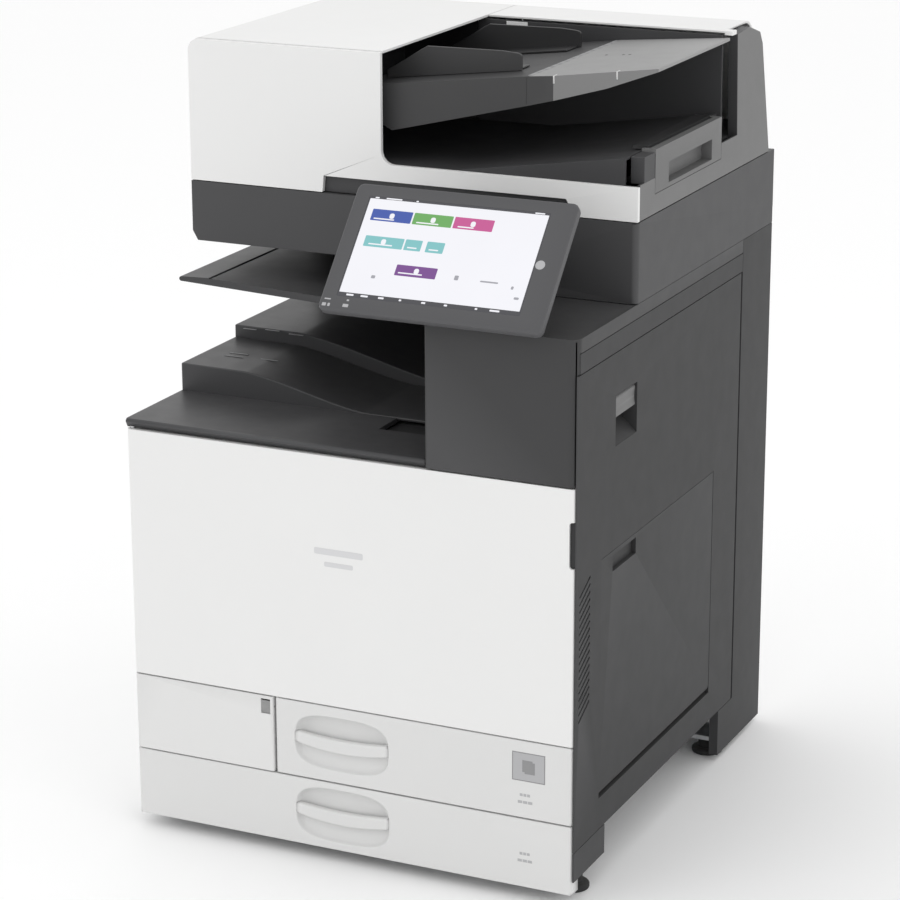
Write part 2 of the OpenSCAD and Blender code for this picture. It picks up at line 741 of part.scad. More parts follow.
// Long platen pane and the narrow pane that the feeder reads through
module platen_glass() {
    color("lightblue", 0.5) {
        block(-253.7, 191.7, -106.7, 286.7, scan_top_z - glass_t, scan_top_z - 0.1);
        block(-281.7, -260.3, -106.7, 286.7, scan_top_z - glass_t, scan_top_z - 0.1);
    }
}

module scanner_carriage() {
    color("black")
        difference() {
            block(carriage_x - 32, carriage_x + 32, -88, 284, 722, 768);
            for (y = rail_y) rod_x(carriage_x - 40, carriage_x + 40, y, 732, rail_r + running);
            block(carriage_x - 4, carriage_x + 4, -80, 276, 756, 770);
        }
}

// --- document feeder -----------------------------------------------------------------------
// Outline of the feeder seen from its side: flat top and a leaning rear face
function leaning_y(z) = adf_rear_y - adf_lean * (z - adf_z);

function feeder_side(inset, z_low) = concat(
    [[adf_skin_y + 0.5, z_low], [leaning_y(z_low) - inset, z_low]],
    [[leaning_y(930) - inset, 930]],
    arc(260 - inset, overall_h - 28 - inset, 28, 12, 90, 5),
    [[adf_skin_y + 0.5, overall_h - inset]]);

// Outline of the feeder cover seen from the front, round about its pivot
function feeder_front(inset) = concat(
    [[feed_x - 0.5, overall_h + 5], [x_l + 14, overall_h + 5]],
    [[x_l + 14, overall_h - inset]],
    arc(x_l + 14, overall_h - 14, 14 - inset, 90, 180, 5),
    [[x_l + inset, cover_pivot[1]]],
    arc(cover_pivot[0], cover_pivot[1], 10 - inset, 180, 270, 5),
    [[feed_x - 0.5, cover_pivot[1] - 10 + inset]]);

module adf_hinges() {
    color("gray")
        for (x = [-215, 185]) {
            difference() {
                block(x - 24, x + 24, 324, y_b, scan_top_z, scan_top_z + 14);
                block(x - 15, x + 15, 320, y_b - 2, scan_top_z + 1, scan_top_z + 15);
            }
            rod_x(x - 20, x + 20, adf_axis[0], adf_axis[1], 3);
        }
}

module adf_base() {
    color("dimgray") {
        difference() {
            union() {
                difference() {
                    block(x_l + 3.5, x_r, adf_skin_y, adf_base_rear_y, adf_z, band_z);
                    block(
                        x_l + 6, x_r - skin, adf_skin_y + skin, adf_base_rear_y - skin,
                        adf_z + skin, band_z + 1);
                }
                along_y(adf_skin_y, adf_inner_y) polygon([
                    [-130, band_z - skin], [exit_floor_x, band_z - skin], [exit_end_x, exit_rise_z - skin],
                    [exit_end_x, exit_rise_z], [exit_floor_x, band_z], [-130, band_z]]);
                for (y = [adf_skin_y, ext_y1 + 2]) along_y(y, y + skin) polygon([
                    [exit_floor_x - 5, band_z - 4], [exit_end_x, band_z - 4], [exit_end_x, exit_rise_z],
                    [exit_floor_x, band_z]]);
                block(-46, 281, adf_inner_y - skin, adf_inner_y, band_z - 5, 958);
                block(-290, 281, adf_inner_y - skin, adf_base_rear_y, band_z - skin, band_z);
                block(x_r - skin, x_r, ext_y1 + 1, 202, band_z - 5, band_z + 2);
                block(x_r - skin, x_r, adf_skin_y, ext_y0 - 1, band_z - 5, band_z + 2);
            }
            block(exit_end_x + 0.6, x_r + 1, ext_y0 - 0.6, ext_y1 + 0.6, 811.4, 870);
            block(120, x_r + 1, -61, 126, 817, 825.4);
        }
        difference() {
            along_x(281, x_r) polygon([
                [202, adf_z], [adf_rear_y - 1, adf_z], [leaning_y(932) - 1, 932], [276, 948],
                [236, 960], [193, 957]]);
            along_x(280, x_r - skin) polygon([
                [206, adf_z + 3], [adf_rear_y - 5, adf_z + 3], [leaning_y(930) - 5, 930], [273, 944],
                [236, 956], [198, 953]]);
        }
        for (x = [-215, 185]) difference() {
            union() {
                block(x - 13, x + 13, adf_base_rear_y - 1, adf_axis[0], adf_axis[1] - 4.5, adf_axis[1] + 4.5);
                rod_x(x - 13, x + 13, adf_axis[0], adf_axis[1], 4.5);
            }
            rod_x(x - 14, x + 14, adf_axis[0], adf_axis[1], 3 + running);
        }
    }
}

module adf_feeder_frame() {
    color("black") {
        for (y = [adf_skin_y + 10, adf_inner_y - 2]) difference() {
            block(-262, -48, y, y + 3, band_z, 955);
            rod_y(table_axis[0], y - 1, y + 4, table_axis[1], 3 + running);
            rod_y(pickup_axis[0], y - 1, y + 4, pickup_axis[1], shaft_r + running);
        }
        block(-262, -150, adf_skin_y + 13, adf_inner_y - 2, band_z, 930);
        for (y = [adf_skin_y + 10, adf_inner_y - 2]) {
            block(cover_pivot[0], -260, y, y + 3, cover_pivot[1] - 5, cover_pivot[1] + 5);
            rod_y(cover_pivot[0], y, y + 3, cover_pivot[1], 5);
        }
        rod_y(cover_pivot[0], adf_skin_y + 3.5, adf_skin_y + 11, cover_pivot[1], 2.5);
        rod_y(cover_pivot[0], adf_inner_y, adf_inner_y + 8.5, cover_pivot[1], 2.5);
    }
}

// White front of the feeder: full height at the left, a band along the bottom, raised over the finger recess
module adf_front_cover() {
    color("white") {
        along_y(scan_y, adf_skin_y - 0.5) polygon(concat(
            [[x_l, adf_z], [-113, adf_z], [-111, band_z - 20.5], [204, band_z - 20.5], [216, adf_z]],
            [[x_r, adf_z]],
            [[x_r, band_z]],
            arc(feed_x + 16, band_z + 16, 16, 270, 180),
            [[feed_x, overall_h - 1]],
            arc(x_l + 14, overall_h - 15, 14, 90, 180)));
        block(x_l, x_l + skin, scan_y + 1, 306, adf_z, cover_pivot[1] - 13);
    }
}

module adf_rear_cover() {
    color("white")
        difference() {
            union() {
                along_x(feed_x + 0.5, 280.5) polygon(feeder_side(0, adf_z));
                along_x(x_l + 3.5, feed_x + 1) polygon([
                    [250, adf_z], [leaning_y(adf_z), adf_z], [leaning_y(849), 849], [250, 849]]);
                block(279, x_r - 0.5, adf_inner_y + 0.5, 191, 957.5, overall_h);
            }
            along_x(x_l, 282) polygon(feeder_side(skin, adf_z - 1));
            block(-300, 300, -200, adf_inner_y + 0.5, 700, 1000);
            for (x = [-215, 185]) block(x - 26, x + 26, 280, 340, adf_z - 1, band_z - 20);
        }
}

module adf_feeder_cover() {
    color("white")
        difference() {
            intersection() {
                along_x(x_l, feed_x - 0.5) polygon(feeder_side(0, 852));
                along_y(adf_skin_y, adf_rear_y) polygon(feeder_front(0));
            }
            intersection() {
                along_x(x_l + skin, feed_x + 1) polygon(feeder_side(skin, 849));
                along_y(adf_skin_y - 1, adf_rear_y) polygon(concat(
                    [[feed_x + 1, overall_h - skin], [x_l + 14, overall_h - skin]],
                    arc(x_l + 14, overall_h - 14, 14 - skin, 90, 180, 5),
                    [[x_l + skin, 849], [feed_x + 1, 849]]));
            }
        }
    color("white")
        for (y = [adf_skin_y + 3, adf_inner_y + 2]) difference() {
            union() {
                block(x_l + 2, cover_pivot[0], y, y + 6, cover_pivot[1] - 5, cover_pivot[1] + 5);
                rod_y(cover_pivot[0], y, y + 6, cover_pivot[1], 5);
            }
            rod_y(cover_pivot[0], y - 1, y + 7, cover_pivot[1], 2.5 + running);
        }
}

// White sheet that presses the original onto the glass
module platen_sheet() {
    color("white")
        block(-254, 190, -106, 286, scan_top_z + 0.4, adf_z);
}

module adf_pickup_roller() {
    color("black") {
        rod_y(pickup_axis[0], adf_skin_y + 9, adf_inner_y + 1.5, pickup_axis[1], shaft_r);
        for (y = [-10, 36]) rod_y(pickup_axis[0], y, y + 30, pickup_axis[1], 11);
    }
}

// Height of the input table's surface at x
function table_z(x) = x < 146 ? 922 + (x + 31) * 0.121 : 943.4 + (x - 146) * 0.085;

// Outline of the input table from above: its front edge falls back towards the right end
function table_plan(inset) = [
    [-90, table_y0 + inset], [177, table_y0 + inset], [291 + inset, -67 + inset * 1.4],
    [291 + inset, table_y1 - inset], [-90, table_y1 - inset]];

module original_table() {
    color("gray") {
        difference() {
            intersection() {
                along_y(table_y0 - 1, table_y1 + 1) polygon([
                    [-80, table_z(-80)], [-80, 890], [-31, 866], [146, 909], [235, 932], [291, 952],
                    [291, table_z(291)], [146, table_z(146)]]);
                along_z(850, 970) polygon(table_plan(0));
            }
            intersection() {
                along_y(table_y0, table_y1) polygon([
                    [-84, 911], [-84, 860], [146, 860], [300, 930], [288, table_z(288) - 2.6],
                    [146, table_z(146) - skin],
                    [-77, table_z(-77) - skin]]);
                along_z(840, 980) polygon(table_plan(skin));
            }
        }
        rod_y(table_axis[0], adf_skin_y + 10.5, table_y0 + 1, table_axis[1], 3);
        rod_y(table_axis[0], table_y1 - 1, adf_inner_y + 0.5, table_axis[1], 3);
        for (y = [table_y0, table_y1 - skin]) rod_y(table_axis[0], y, y + skin, table_axis[1], 7);
    }
}

// Side fence for the originals, with a low foot that lies on the table
module original_guide(y, side) {
    along_y(y, y + 4) polygon([
        [-60, table_z(-60) + 0.4], [-60, 929], [-30, 947], [-14, 957], [-6, 961], [90, 962],
        [110, 960.5], [116, 954], [116, table_z(116) + 0.4]]);
    along_y(min(y + 2, y + side * 34), max(y + 2, y + side * 34)) polygon([
        [-20, table_z(-20) + 0.4], [-20, table_z(-20) + 3], [112, table_z(112) + 3],
        [112, table_z(112) + 0.4]]);
}

module original_guide_front() {
    color("dimgray") original_guide(-60, 1);
}

module original_guide_rear() {
    color("dimgray") original_guide(120, -1);
}

module exit_extender() {
    color("gray") {
        difference() {
            block(exit_end_x + 1.2, x_r, ext_y0, ext_y1, 812, 864);
            block(exit_end_x + 5, x_r + 1, -35, 110, 817, 842);
            block(exit_end_x, stopper_axis[0] + 5.6, ext_y0 + 6, ext_y1 - 6, 857.8, 866);
            rod_y(stopper_axis[0], ext_y0 + 1, ext_y0 + 7, stopper_axis[1] - 0.4, 1.8 + running);
            rod_y(stopper_axis[0], ext_y1 - 7, ext_y1 - 1, stopper_axis[1] - 0.4, 1.8 + running);
        }
        block(126, exit_end_x + 5, -58, 123, 817.6, 824.8);
    }
}

module exit_stopper() {
    color("black") {
        rod_y(stopper_axis[0], ext_y0 + 1.5, ext_y1 - 1.5, stopper_axis[1] - 0.4, 1.8);
        block(262, stopper_axis[0], ext_y0 + 6.6, ext_y1 - 6.6, 861.6, 865.6);
        block(stopper_axis[0] - 1.5, stopper_axis[0] + 1, ext_y0 + 6.6, ext_y1 - 6.6, 860.8, 865.6);
    }
}

// --- operation panel -----------------------------------------------------------------------
// Places children in the panel's own frame: x across, y up along the face, z out of the face
module on_panel() {
    translate(panel_mid) rotate([90 - panel_lean, 0, 0]) children();
}

module panel_arm() {
    color("dimgray") {
        along_x(panel_x - 52, panel_x + 52) polygon([
            [scan_y, 706], [scan_y, 768], [-176, 772], [-208, 757], [-208, 729], [-186, 706]]);
        for (x = [panel_x - 52, panel_x + 40]) {
            block(x, x + 12, panel_axis[0], -206, panel_axis[1] - 8, panel_axis[1] + 8);
            rod_x(x, x + 12, panel_axis[0], panel_axis[1], 8);
        }
        rod_x(panel_x - 60, panel_x + 60, panel_axis[0], panel_axis[1], shaft_r);
    }
}

module panel_housing() {
    color("dimgray")
        difference() {
            union() {
                on_panel() translate([0, 0, -panel_t]) linear_extrude(panel_t)
                    polygon(round_box(-panel_w / 2, panel_w / 2, -panel_h / 2, panel_h / 2, 7));
                for (x = [-38, 26]) on_panel() {
                    along_x(x, x + 12) polygon([
                        [0, 2 - panel_t], [48, 2 - panel_t],
                        [panel_axis_up + 7, -panel_axis_in], [panel_axis_up - 7, -panel_axis_in]]);
                    rod_x(x, x + 12, panel_axis_up, -panel_axis_in, 9);
                }
            }
            on_panel() translate([screen_du, -screen_dv, -2]) linear_extrude(5)
                polygon(round_box(-screen_w / 2, screen_w / 2, -screen_h / 2, screen_h / 2, 2));
            on_panel() translate([key_du, key_dv, -5]) cylinder(h = 10, r = 6.3);
            on_panel() rod_x(-60, 60, panel_axis_up, -panel_axis_in, shaft_r + running);
        }
}

module panel_screen() {
    color("white")
        on_panel() translate([screen_du, -screen_dv, -2]) linear_extrude(1.7)
            polygon(round_box(
                -screen_w / 2 + 0.3, screen_w / 2 - 0.3, -screen_h / 2 + 0.3, screen_h / 2 - 0.3, 2));
}

module panel_key() {
    color("lightgray")
        on_panel() translate([key_du, key_dv, -3]) cylinder(h = 3.4, r = 6);
}

base_frame();
levelling_feet();
left_cover();
rear_cover();
interface_panel();
power_inlet();
left_lower_panel();
right_lower_cover();
right_rear_cover();
right_upper_cover();
output_deck();
exit_block_cover();
inner_rear_cover();
internal_tray();
inner_front_panel();
toner_bottles();
transfer_unit();
fuser_unit();
laser_unit();
waste_bottle();
power_supply();
scanner_housing();
platen_glass();
cover_screws();
hinge_pins();
adf_hinges();
power_switch();
front_cover();
exit_roller();
tray1_front();
tray1_tub();
tray1_lift_plate();
tray2_front();
tray2_tub();
tray2_lift_plate();
tray1_feed_roller();
tray2_feed_roller();
right_door();
door_latch();
bypass_tray();
bypass_extension();
bypass_guide_front();
bypass_guide_rear();
scanner_carriage();
adf_base();
adf_front_cover();
adf_rear_cover();
platen_sheet();
adf_feeder_cover();
adf_feeder_frame();
original_table();
original_guide_front();
original_guide_rear();
adf_pickup_roller();
exit_extender();
exit_stopper();
panel_arm();
panel_housing();
panel_screen();
panel_key();
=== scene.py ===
"""Looks of a free-standing A3 multifunction copier.

Metres, +Z up, front towards -Y, origin on the floor under the middle of the outer box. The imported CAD
model is the fixed frame: its nodes give the places, and every piece made here rides on one of its bodies.
"""

import logging
import math
from dataclasses import dataclass
from enum import Enum
from functools import cache
from typing import Iterator, Sequence

import bmesh
import bpy
from mathutils import Matrix, Vector


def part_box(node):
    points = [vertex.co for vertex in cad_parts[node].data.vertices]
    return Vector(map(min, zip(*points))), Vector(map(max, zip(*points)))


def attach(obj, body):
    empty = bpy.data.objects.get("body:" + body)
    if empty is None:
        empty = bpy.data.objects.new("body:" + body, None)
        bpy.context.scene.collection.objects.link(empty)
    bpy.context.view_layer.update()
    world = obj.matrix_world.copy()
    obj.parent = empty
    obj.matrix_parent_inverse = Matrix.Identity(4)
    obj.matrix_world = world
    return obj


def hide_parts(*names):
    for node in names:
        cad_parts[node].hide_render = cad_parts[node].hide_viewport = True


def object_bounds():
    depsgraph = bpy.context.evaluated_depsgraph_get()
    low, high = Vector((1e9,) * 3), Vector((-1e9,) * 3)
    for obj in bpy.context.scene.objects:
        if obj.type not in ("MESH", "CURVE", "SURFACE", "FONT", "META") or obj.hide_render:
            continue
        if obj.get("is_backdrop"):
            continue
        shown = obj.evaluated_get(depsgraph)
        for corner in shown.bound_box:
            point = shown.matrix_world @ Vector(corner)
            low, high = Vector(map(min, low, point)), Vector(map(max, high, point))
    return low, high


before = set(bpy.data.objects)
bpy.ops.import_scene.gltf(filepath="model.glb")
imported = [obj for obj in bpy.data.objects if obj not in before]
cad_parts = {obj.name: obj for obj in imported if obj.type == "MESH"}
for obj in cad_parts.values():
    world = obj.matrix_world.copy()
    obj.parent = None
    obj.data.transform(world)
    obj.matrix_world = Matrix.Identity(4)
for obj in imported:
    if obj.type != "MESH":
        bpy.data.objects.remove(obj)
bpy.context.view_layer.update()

LOG = logging.getLogger("copier")
MM = 0.001
OVAL_POWER = 0.62  # 1 is an ellipse, and smaller values fill its corners

Point = tuple[float, float]
Colour = tuple[float, float, float]
Span = tuple[float, float]


# --- Outlines and meshes ---
class Axis(Enum):
    """The direction along which an outline is carried."""

    X = "x"
    Y = "y"
    Z = "z"

    def place(self, first: float, second: float, along: float) -> Vector:
        """Turn a point of an outline into a point in space.

        Args:
            first: the outline's first coordinate.
            second: the outline's second coordinate.
            along: the distance along this axis.

        Returns:
            The point in the row frame.
        """
        if self is Axis.X:
            return Vector((along, first, second))
        if self is Axis.Y:
            return Vector((first, along, second))
        return Vector((first, second, along))


def arc(centre: Point, radius: float, start: float, end: float, steps: int = 8) -> list[Point]:
    """Return points along an arc.

    Args:
        centre: the arc's centre.
        radius: its radius.
        start: first angle in degrees.
        end: last angle in degrees.
        steps: how many chords the arc has.

    Returns:
        The steps + 1 points from start to end.
    """
    angles = [math.radians(start + (end - start) * i / steps) for i in range(steps + 1)]
    return [(centre[0] + radius * math.cos(a), centre[1] + radius * math.sin(a)) for a in angles]


def rounded_rect(x: Span, y: Span, radius: float, steps: int = 5) -> list[Point]:
    """Return the outline of a rectangle with round corners, anticlockwise.

    Args:
        x: lowest and highest first coordinate.
        y: lowest and highest second coordinate.
        radius: corner radius.
        steps: chords per corner.

    Returns:
        4 * (steps + 1) points.
    """
    (x0, x1), (y0, y1), r = x, y, radius
    return (
        arc((x1 - r, y0 + r), r, -90, 0, steps)
        + arc((x1 - r, y1 - r), r, 0, 90, steps)
        + arc((x0 + r, y1 - r), r, 90, 180, steps)
        + arc((x0 + r, y0 + r), r, 180, 270, steps)
    )


def full_oval(centre: Point, width: float, height: float, count: int) -> list[Point]:
    """Return an oval that is fuller than an ellipse.

    Args:
        centre: its middle.
        width: full width.
        height: full height.
        count: number of points.

    Returns:
        The points, anticlockwise.
    """
    points = []
    for i in range(count):
        c, s = math.cos(math.tau * i / count), math.sin(math.tau * i / count)
        points.append((
            centre[0] + width / 2 * math.copysign(abs(c) ** OVAL_POWER, c),
            centre[1] + height / 2 * math.copysign(abs(s) ** OVAL_POWER, s),
        ))
    return points


def loft(rings: Sequence[Sequence[Vector]]) -> bmesh.types.BMesh:
    """Join closed rings of equal length with quads, and close both ends.

    Args:
        rings: the rings in order.

    Returns:
        A new mesh.
    """
    bm = bmesh.new()
    made = [[bm.verts.new(p) for p in ring] for ring in rings]
    for low, high in zip(made, made[1:]):
        for i in range(len(low)):
            j = (i + 1) % len(low)
            bm.faces.new((low[i], low[j], high[j], high[i]))
    bm.faces.new(list(reversed(made[0])))
    bm.faces.new(made[-1])
    bmesh.ops.recalc_face_normals(bm, faces=bm.faces)
    return bm


def prism(outline: Sequence[Point], axis: Axis, span: Span) -> bmesh.types.BMesh:
    """Carry an outline along an axis.

    Args:
        outline: the closed outline in millimetres.
        axis: the direction of travel.
        span: where it starts and ends, in millimetres.

    Returns:
        A new closed mesh.
    """
    return loft([[axis.place(a * MM, b * MM, along * MM) for a, b in outline] for along in span])


def block(x: Span, y: Span, z: Span) -> bmesh.types.BMesh:
    """Return a plain box between two values on each axis, in millimetres."""
    return prism([(x[0], y[0]), (x[1], y[0]), (x[1], y[1]), (x[0], y[1])], Axis.Z, z)


def lathe(profile: Sequence[Point], axis: Axis, centre: Point, segments: int = 48) -> bmesh.types.BMesh:
    """Turn a profile about an axis.

    Args:
        profile: pairs of distance along the axis and radius, in millimetres.
        axis: the axis of rotation.
        centre: where the axis lies in the other two directions, in millimetres.
        segments: facets round the axis.

    Returns:
        A new closed mesh.
    """
    (x, y), turn = centre, [math.tau * i / segments for i in range(segments)]
    rings = [
        [axis.place((x + r * math.cos(t)) * MM, (y + r * math.sin(t)) * MM, along * MM) for t in turn]
        for along, r in profile
    ]
    return loft(rings)


def merge(*parts: bmesh.types.BMesh) -> bmesh.types.BMesh:
    """Put several meshes into one and free them.

    Args:
        parts: the meshes to join.

    Returns:
        One new mesh with all of their faces.
    """
    whole = bmesh.new()
    for part in parts:
        scratch = bpy.data.meshes.new("scratch")
        part.to_mesh(scratch)
        whole.from_mesh(scratch)
        bpy.data.meshes.remove(scratch)
        part.free()
    return whole


def moved(bm: bmesh.types.BMesh, matrix: Matrix) -> bmesh.types.BMesh:
    """Move a mesh by a matrix and return it."""
    bmesh.ops.transform(bm, matrix=matrix, verts=bm.verts)
    return bm


# --- Shader node groups ---
class Sockets(Enum):
    """Kinds of socket that a shared node group has."""

    VALUE = "NodeSocketFloat"
    COLOUR = "NodeSocketColor"


class EffectGroup:
    """A shader node group that several finishes share, built once."""

    def __init__(self, name: str, inputs: dict[str, Sockets], outputs: dict[str, Sockets]) -> None:
        """Start an empty group.

        Args:
            name: the group's name.
            inputs: input names and their kinds.
            outputs: output names and their kinds.
        """
        self.tree = bpy.data.node_groups.new(name, "ShaderNodeTree")
        for label, kind in inputs.items():
            self.tree.interface.new_socket(name=label, in_out="INPUT", socket_type=kind.value)
        for label, kind in outputs.items():
            self.tree.interface.new_socket(name=label, in_out="OUTPUT", socket_type=kind.value)
        self.source = self.tree.nodes.new("NodeGroupInput")
        self.sink = self.tree.nodes.new("NodeGroupOutput")

    def node(self, kind: str, **settings: object) -> bpy.types.Node:
        """Add a node and set its properties.

        Args:
            kind: Blender's node type.
            settings: properties to set on it.

        Returns:
            The new node.
        """
        made = self.tree.nodes.new(kind)
        for key, value in settings.items():
            setattr(made, key, value)
        return made

    def link(self, start: bpy.types.NodeSocket, end: bpy.types.NodeSocket) -> None:
        """Connect two sockets."""
        self.tree.links.new(start, end)

    def noise(self, scale_name: str | None, scale: float = 1.0, detail: float = 3.0) -> bpy.types.Node:
        """Add a noise texture in object space.

        Args:
            scale_name: the group input that sets its scale, or None.
            scale: the scale when no input sets it.
            detail: octaves of noise.

        Returns:
            The noise node.
        """
        place = self.node("ShaderNodeTexCoord")
        noise = self.node("ShaderNodeTexNoise")
        noise.inputs["Scale"].default_value = scale
        noise.inputs["Detail"].default_value = detail
        self.link(place.outputs["Object"], noise.inputs["Vector"])
        if scale_name:
            self.link(self.source.outputs[scale_name], noise.inputs["Scale"])
        return noise

    def maths(self, operation: str, first: object, second: object) -> bpy.types.NodeSocket:
        """Add a maths node.

        Args:
            operation: the operation's name.
            first: a socket or a number.
            second: a socket or a number.

        Returns:
            The result's socket.
        """
        made = self.node("ShaderNodeMath", operation=operation)
        for slot, value in zip(made.inputs, (first, second)):
            if isinstance(value, bpy.types.NodeSocket):
                self.link(value, slot)
            else:
                slot.default_value = value
        return made.outputs[0]

    def mix(self, factor: bpy.types.NodeSocket, first: bpy.types.NodeSocket, second: object) -> bpy.types.NodeSocket:
        """Mix two colours.

        Args:
            factor: the share of the second one.
            first: the first colour's socket.
            second: the second colour's socket, or a colour.

        Returns:
            The result's socket.
        """
        made = self.node("ShaderNodeMix", data_type="RGBA")
        self.link(factor, made.inputs["Factor"])
        self.link(first, made.inputs["A"])
        if isinstance(second, bpy.types.NodeSocket):
            self.link(second, made.inputs["B"])
        else:
            made.inputs["B"].default_value = (*second, 1.0)
        return made.outputs["Result"]


@cache
def grain_group() -> bpy.types.NodeTree:
    """Return the fine pebble texture of moulded plastic: a height that changes over the surface."""
    group = EffectGroup("moulded_grain", {"Scale": Sockets.VALUE}, {"Height": Sockets.VALUE})
    fine = group.noise("Scale", detail=2.0)
    coarse = group.noise(None, scale=260.0, detail=1.0)
    total = group.maths("ADD", fine.outputs["Fac"], group.maths("MULTIPLY", coarse.outputs["Fac"], 0.35))
    group.link(total, group.sink.inputs["Height"])
    return group.tree


@cache
def edge_highlight_and_wear_group() -> bpy.types.NodeTree:
    """Return the group that lightens sharp edges, a painted highlight with a little wear in it, and lets a colour drift
    a little over a large surface.
    """
    group = EffectGroup(
        "edge_highlight_wear_and_drift",
        {"Color": Sockets.COLOUR, "Edge Color": Sockets.COLOUR, "Edge": Sockets.VALUE, "Drift": Sockets.VALUE},
        {"Color": Sockets.COLOUR},
    )
    shape = group.node("ShaderNodeNewGeometry")
    # Pointiness finds the sharp edges, which take the painted highlight (with a little wear in it).
    sharp = group.node("ShaderNodeMapRange")
    sharp.inputs["From Min"].default_value = 0.52
    sharp.inputs["From Max"].default_value = 0.60
    group.link(shape.outputs["Pointiness"], sharp.inputs["Value"])
    patches = group.noise(None, scale=9.0, detail=4.0)
    spread = group.maths("SUBTRACT", patches.outputs["Fac"], 0.5)
    drift = group.maths("MULTIPLY", spread, group.source.outputs["Drift"])
    scaled = group.node("ShaderNodeHueSaturation")
    group.link(group.source.outputs["Color"], scaled.inputs["Color"])
    group.link(group.maths("ADD", drift, 1.0), scaled.inputs["Value"])
    share = group.maths("MULTIPLY", sharp.outputs["Result"], group.source.outputs["Edge"])
    result = group.mix(share, scaled.outputs["Color"], group.source.outputs["Edge Color"])
    group.link(result, group.sink.inputs["Color"])
    return group.tree


@cache
def dust_group() -> bpy.types.NodeTree:
    """Return the group that lays thin uneven dust on upward faces."""
    group = EffectGroup(
        "settled_dust", {"Color": Sockets.COLOUR, "Amount": Sockets.VALUE}, {"Color": Sockets.COLOUR}
    )
    shape = group.node("ShaderNodeNewGeometry")
    parts = group.node("ShaderNodeSeparateXYZ")
    group.link(shape.outputs["Normal"], parts.inputs["Vector"])
    up = group.maths("MAXIMUM", parts.outputs["Z"], 0.0)
    specks = group.noise(None, scale=55.0, detail=6.0)
    patchy = group.maths("MULTIPLY", group.maths("POWER", up, 3.0), specks.outputs["Fac"])
    share = group.maths("MULTIPLY", patchy, group.source.outputs["Amount"])
    group.link(group.mix(share, group.source.outputs["Color"], (0.55, 0.53, 0.50)), group.sink.inputs["Color"])
    return group.tree


@cache
def mottle_group() -> bpy.types.NodeTree:
    """Return the group that varies roughness a little over a surface."""
    group = EffectGroup(
        "mottled_roughness", {"Base": Sockets.VALUE, "Amount": Sockets.VALUE}, {"Roughness": Sockets.VALUE}
    )
    noise = group.noise(None, scale=34.0, detail=5.0)
    spread = group.maths("MULTIPLY", group.maths("SUBTRACT", noise.outputs["Fac"], 0.5), group.source.outputs["Amount"])
    group.link(group.maths("ADD", spread, group.source.outputs["Base"]), group.sink.inputs["Roughness"])
    return group.tree


# --- Finishes ---
class MaterialSheet:
    """A material with one Principled shader, and short ways to feed it."""

    def __init__(self, name: str) -> None:
        """Start the material under a name."""
        self.material = bpy.data.materials.new(name)
        self.material.use_nodes = True
        self.tree = self.material.node_tree
        self.shader = self.tree.nodes["Principled BSDF"]

    def group(self, tree: bpy.types.NodeTree, **values: object) -> bpy.types.Node:
        """Place a shared group.

        Args:
            tree: the group's node tree.
            values: input values, with underscores for spaces.

        Returns:
            The group node.
        """
        made = self.tree.nodes.new("ShaderNodeGroup")
        made.node_tree = tree
        for key, value in values.items():
            made.inputs[key.replace("_", " ")].default_value = value
        return made

    def feed(self, start: bpy.types.NodeSocket, socket: str) -> None:
        """Connect a socket to one of the shader's inputs."""
        self.tree.links.new(start, self.shader.inputs[socket])

    def bump(self, height: bpy.types.NodeSocket, strength: float, distance: float) -> None:
        """Turn a height into the shader's normal.

        Args:
            height: the height's socket.
            strength: how strong the bump is.
            distance: its depth in metres.
        """
        node = self.tree.nodes.new("ShaderNodeBump")
        node.inputs["Strength"].default_value = strength
        node.inputs["Distance"].default_value = distance
        self.tree.links.new(height, node.inputs["Height"])
        self.feed(node.outputs["Normal"], "Normal")


@dataclass(frozen=True)
class Moulded:
    """Moulded plastic or rubber with a fine grain, mottled gloss and slightly lighter edges, which are a painted
    highlight with a little wear in it.
    """

    slot: str
    colour: Colour
    # edge_colour: the lighter colour of sharp edges, a painted highlight with a little wear in it.
    edge_colour: Colour
    roughness: float = 0.45
    specular: float = 0.4
    grain: float = 1500.0
    depth: float = 0.00006
    edge: float = 0.25
    drift: float = 0.05
    dust: float = 0.0

    def make(self, name: str) -> bpy.types.Material:
        """Build the material.

        Args:
            name: the material's name.

        Returns:
            The new material.
        """
        sheet = MaterialSheet(name)
        highlight_and_wear = sheet.group(
            edge_highlight_and_wear_group(), Color=(*self.colour, 1.0), Edge_Color=(*self.edge_colour, 1.0), Edge=self.edge,
            Drift=self.drift,
        )
        dust = sheet.group(dust_group(), Amount=self.dust)
        sheet.tree.links.new(highlight_and_wear.outputs["Color"], dust.inputs["Color"])
        sheet.feed(dust.outputs["Color"], "Base Color")
        gloss = sheet.group(mottle_group(), Base=self.roughness, Amount=0.12)
        sheet.feed(gloss.outputs["Roughness"], "Roughness")
        sheet.shader.inputs["Specular IOR Level"].default_value = self.specular
        grain = sheet.group(grain_group(), Scale=self.grain)
        sheet.bump(grain.outputs["Height"], 0.35, self.depth)
        return sheet.material


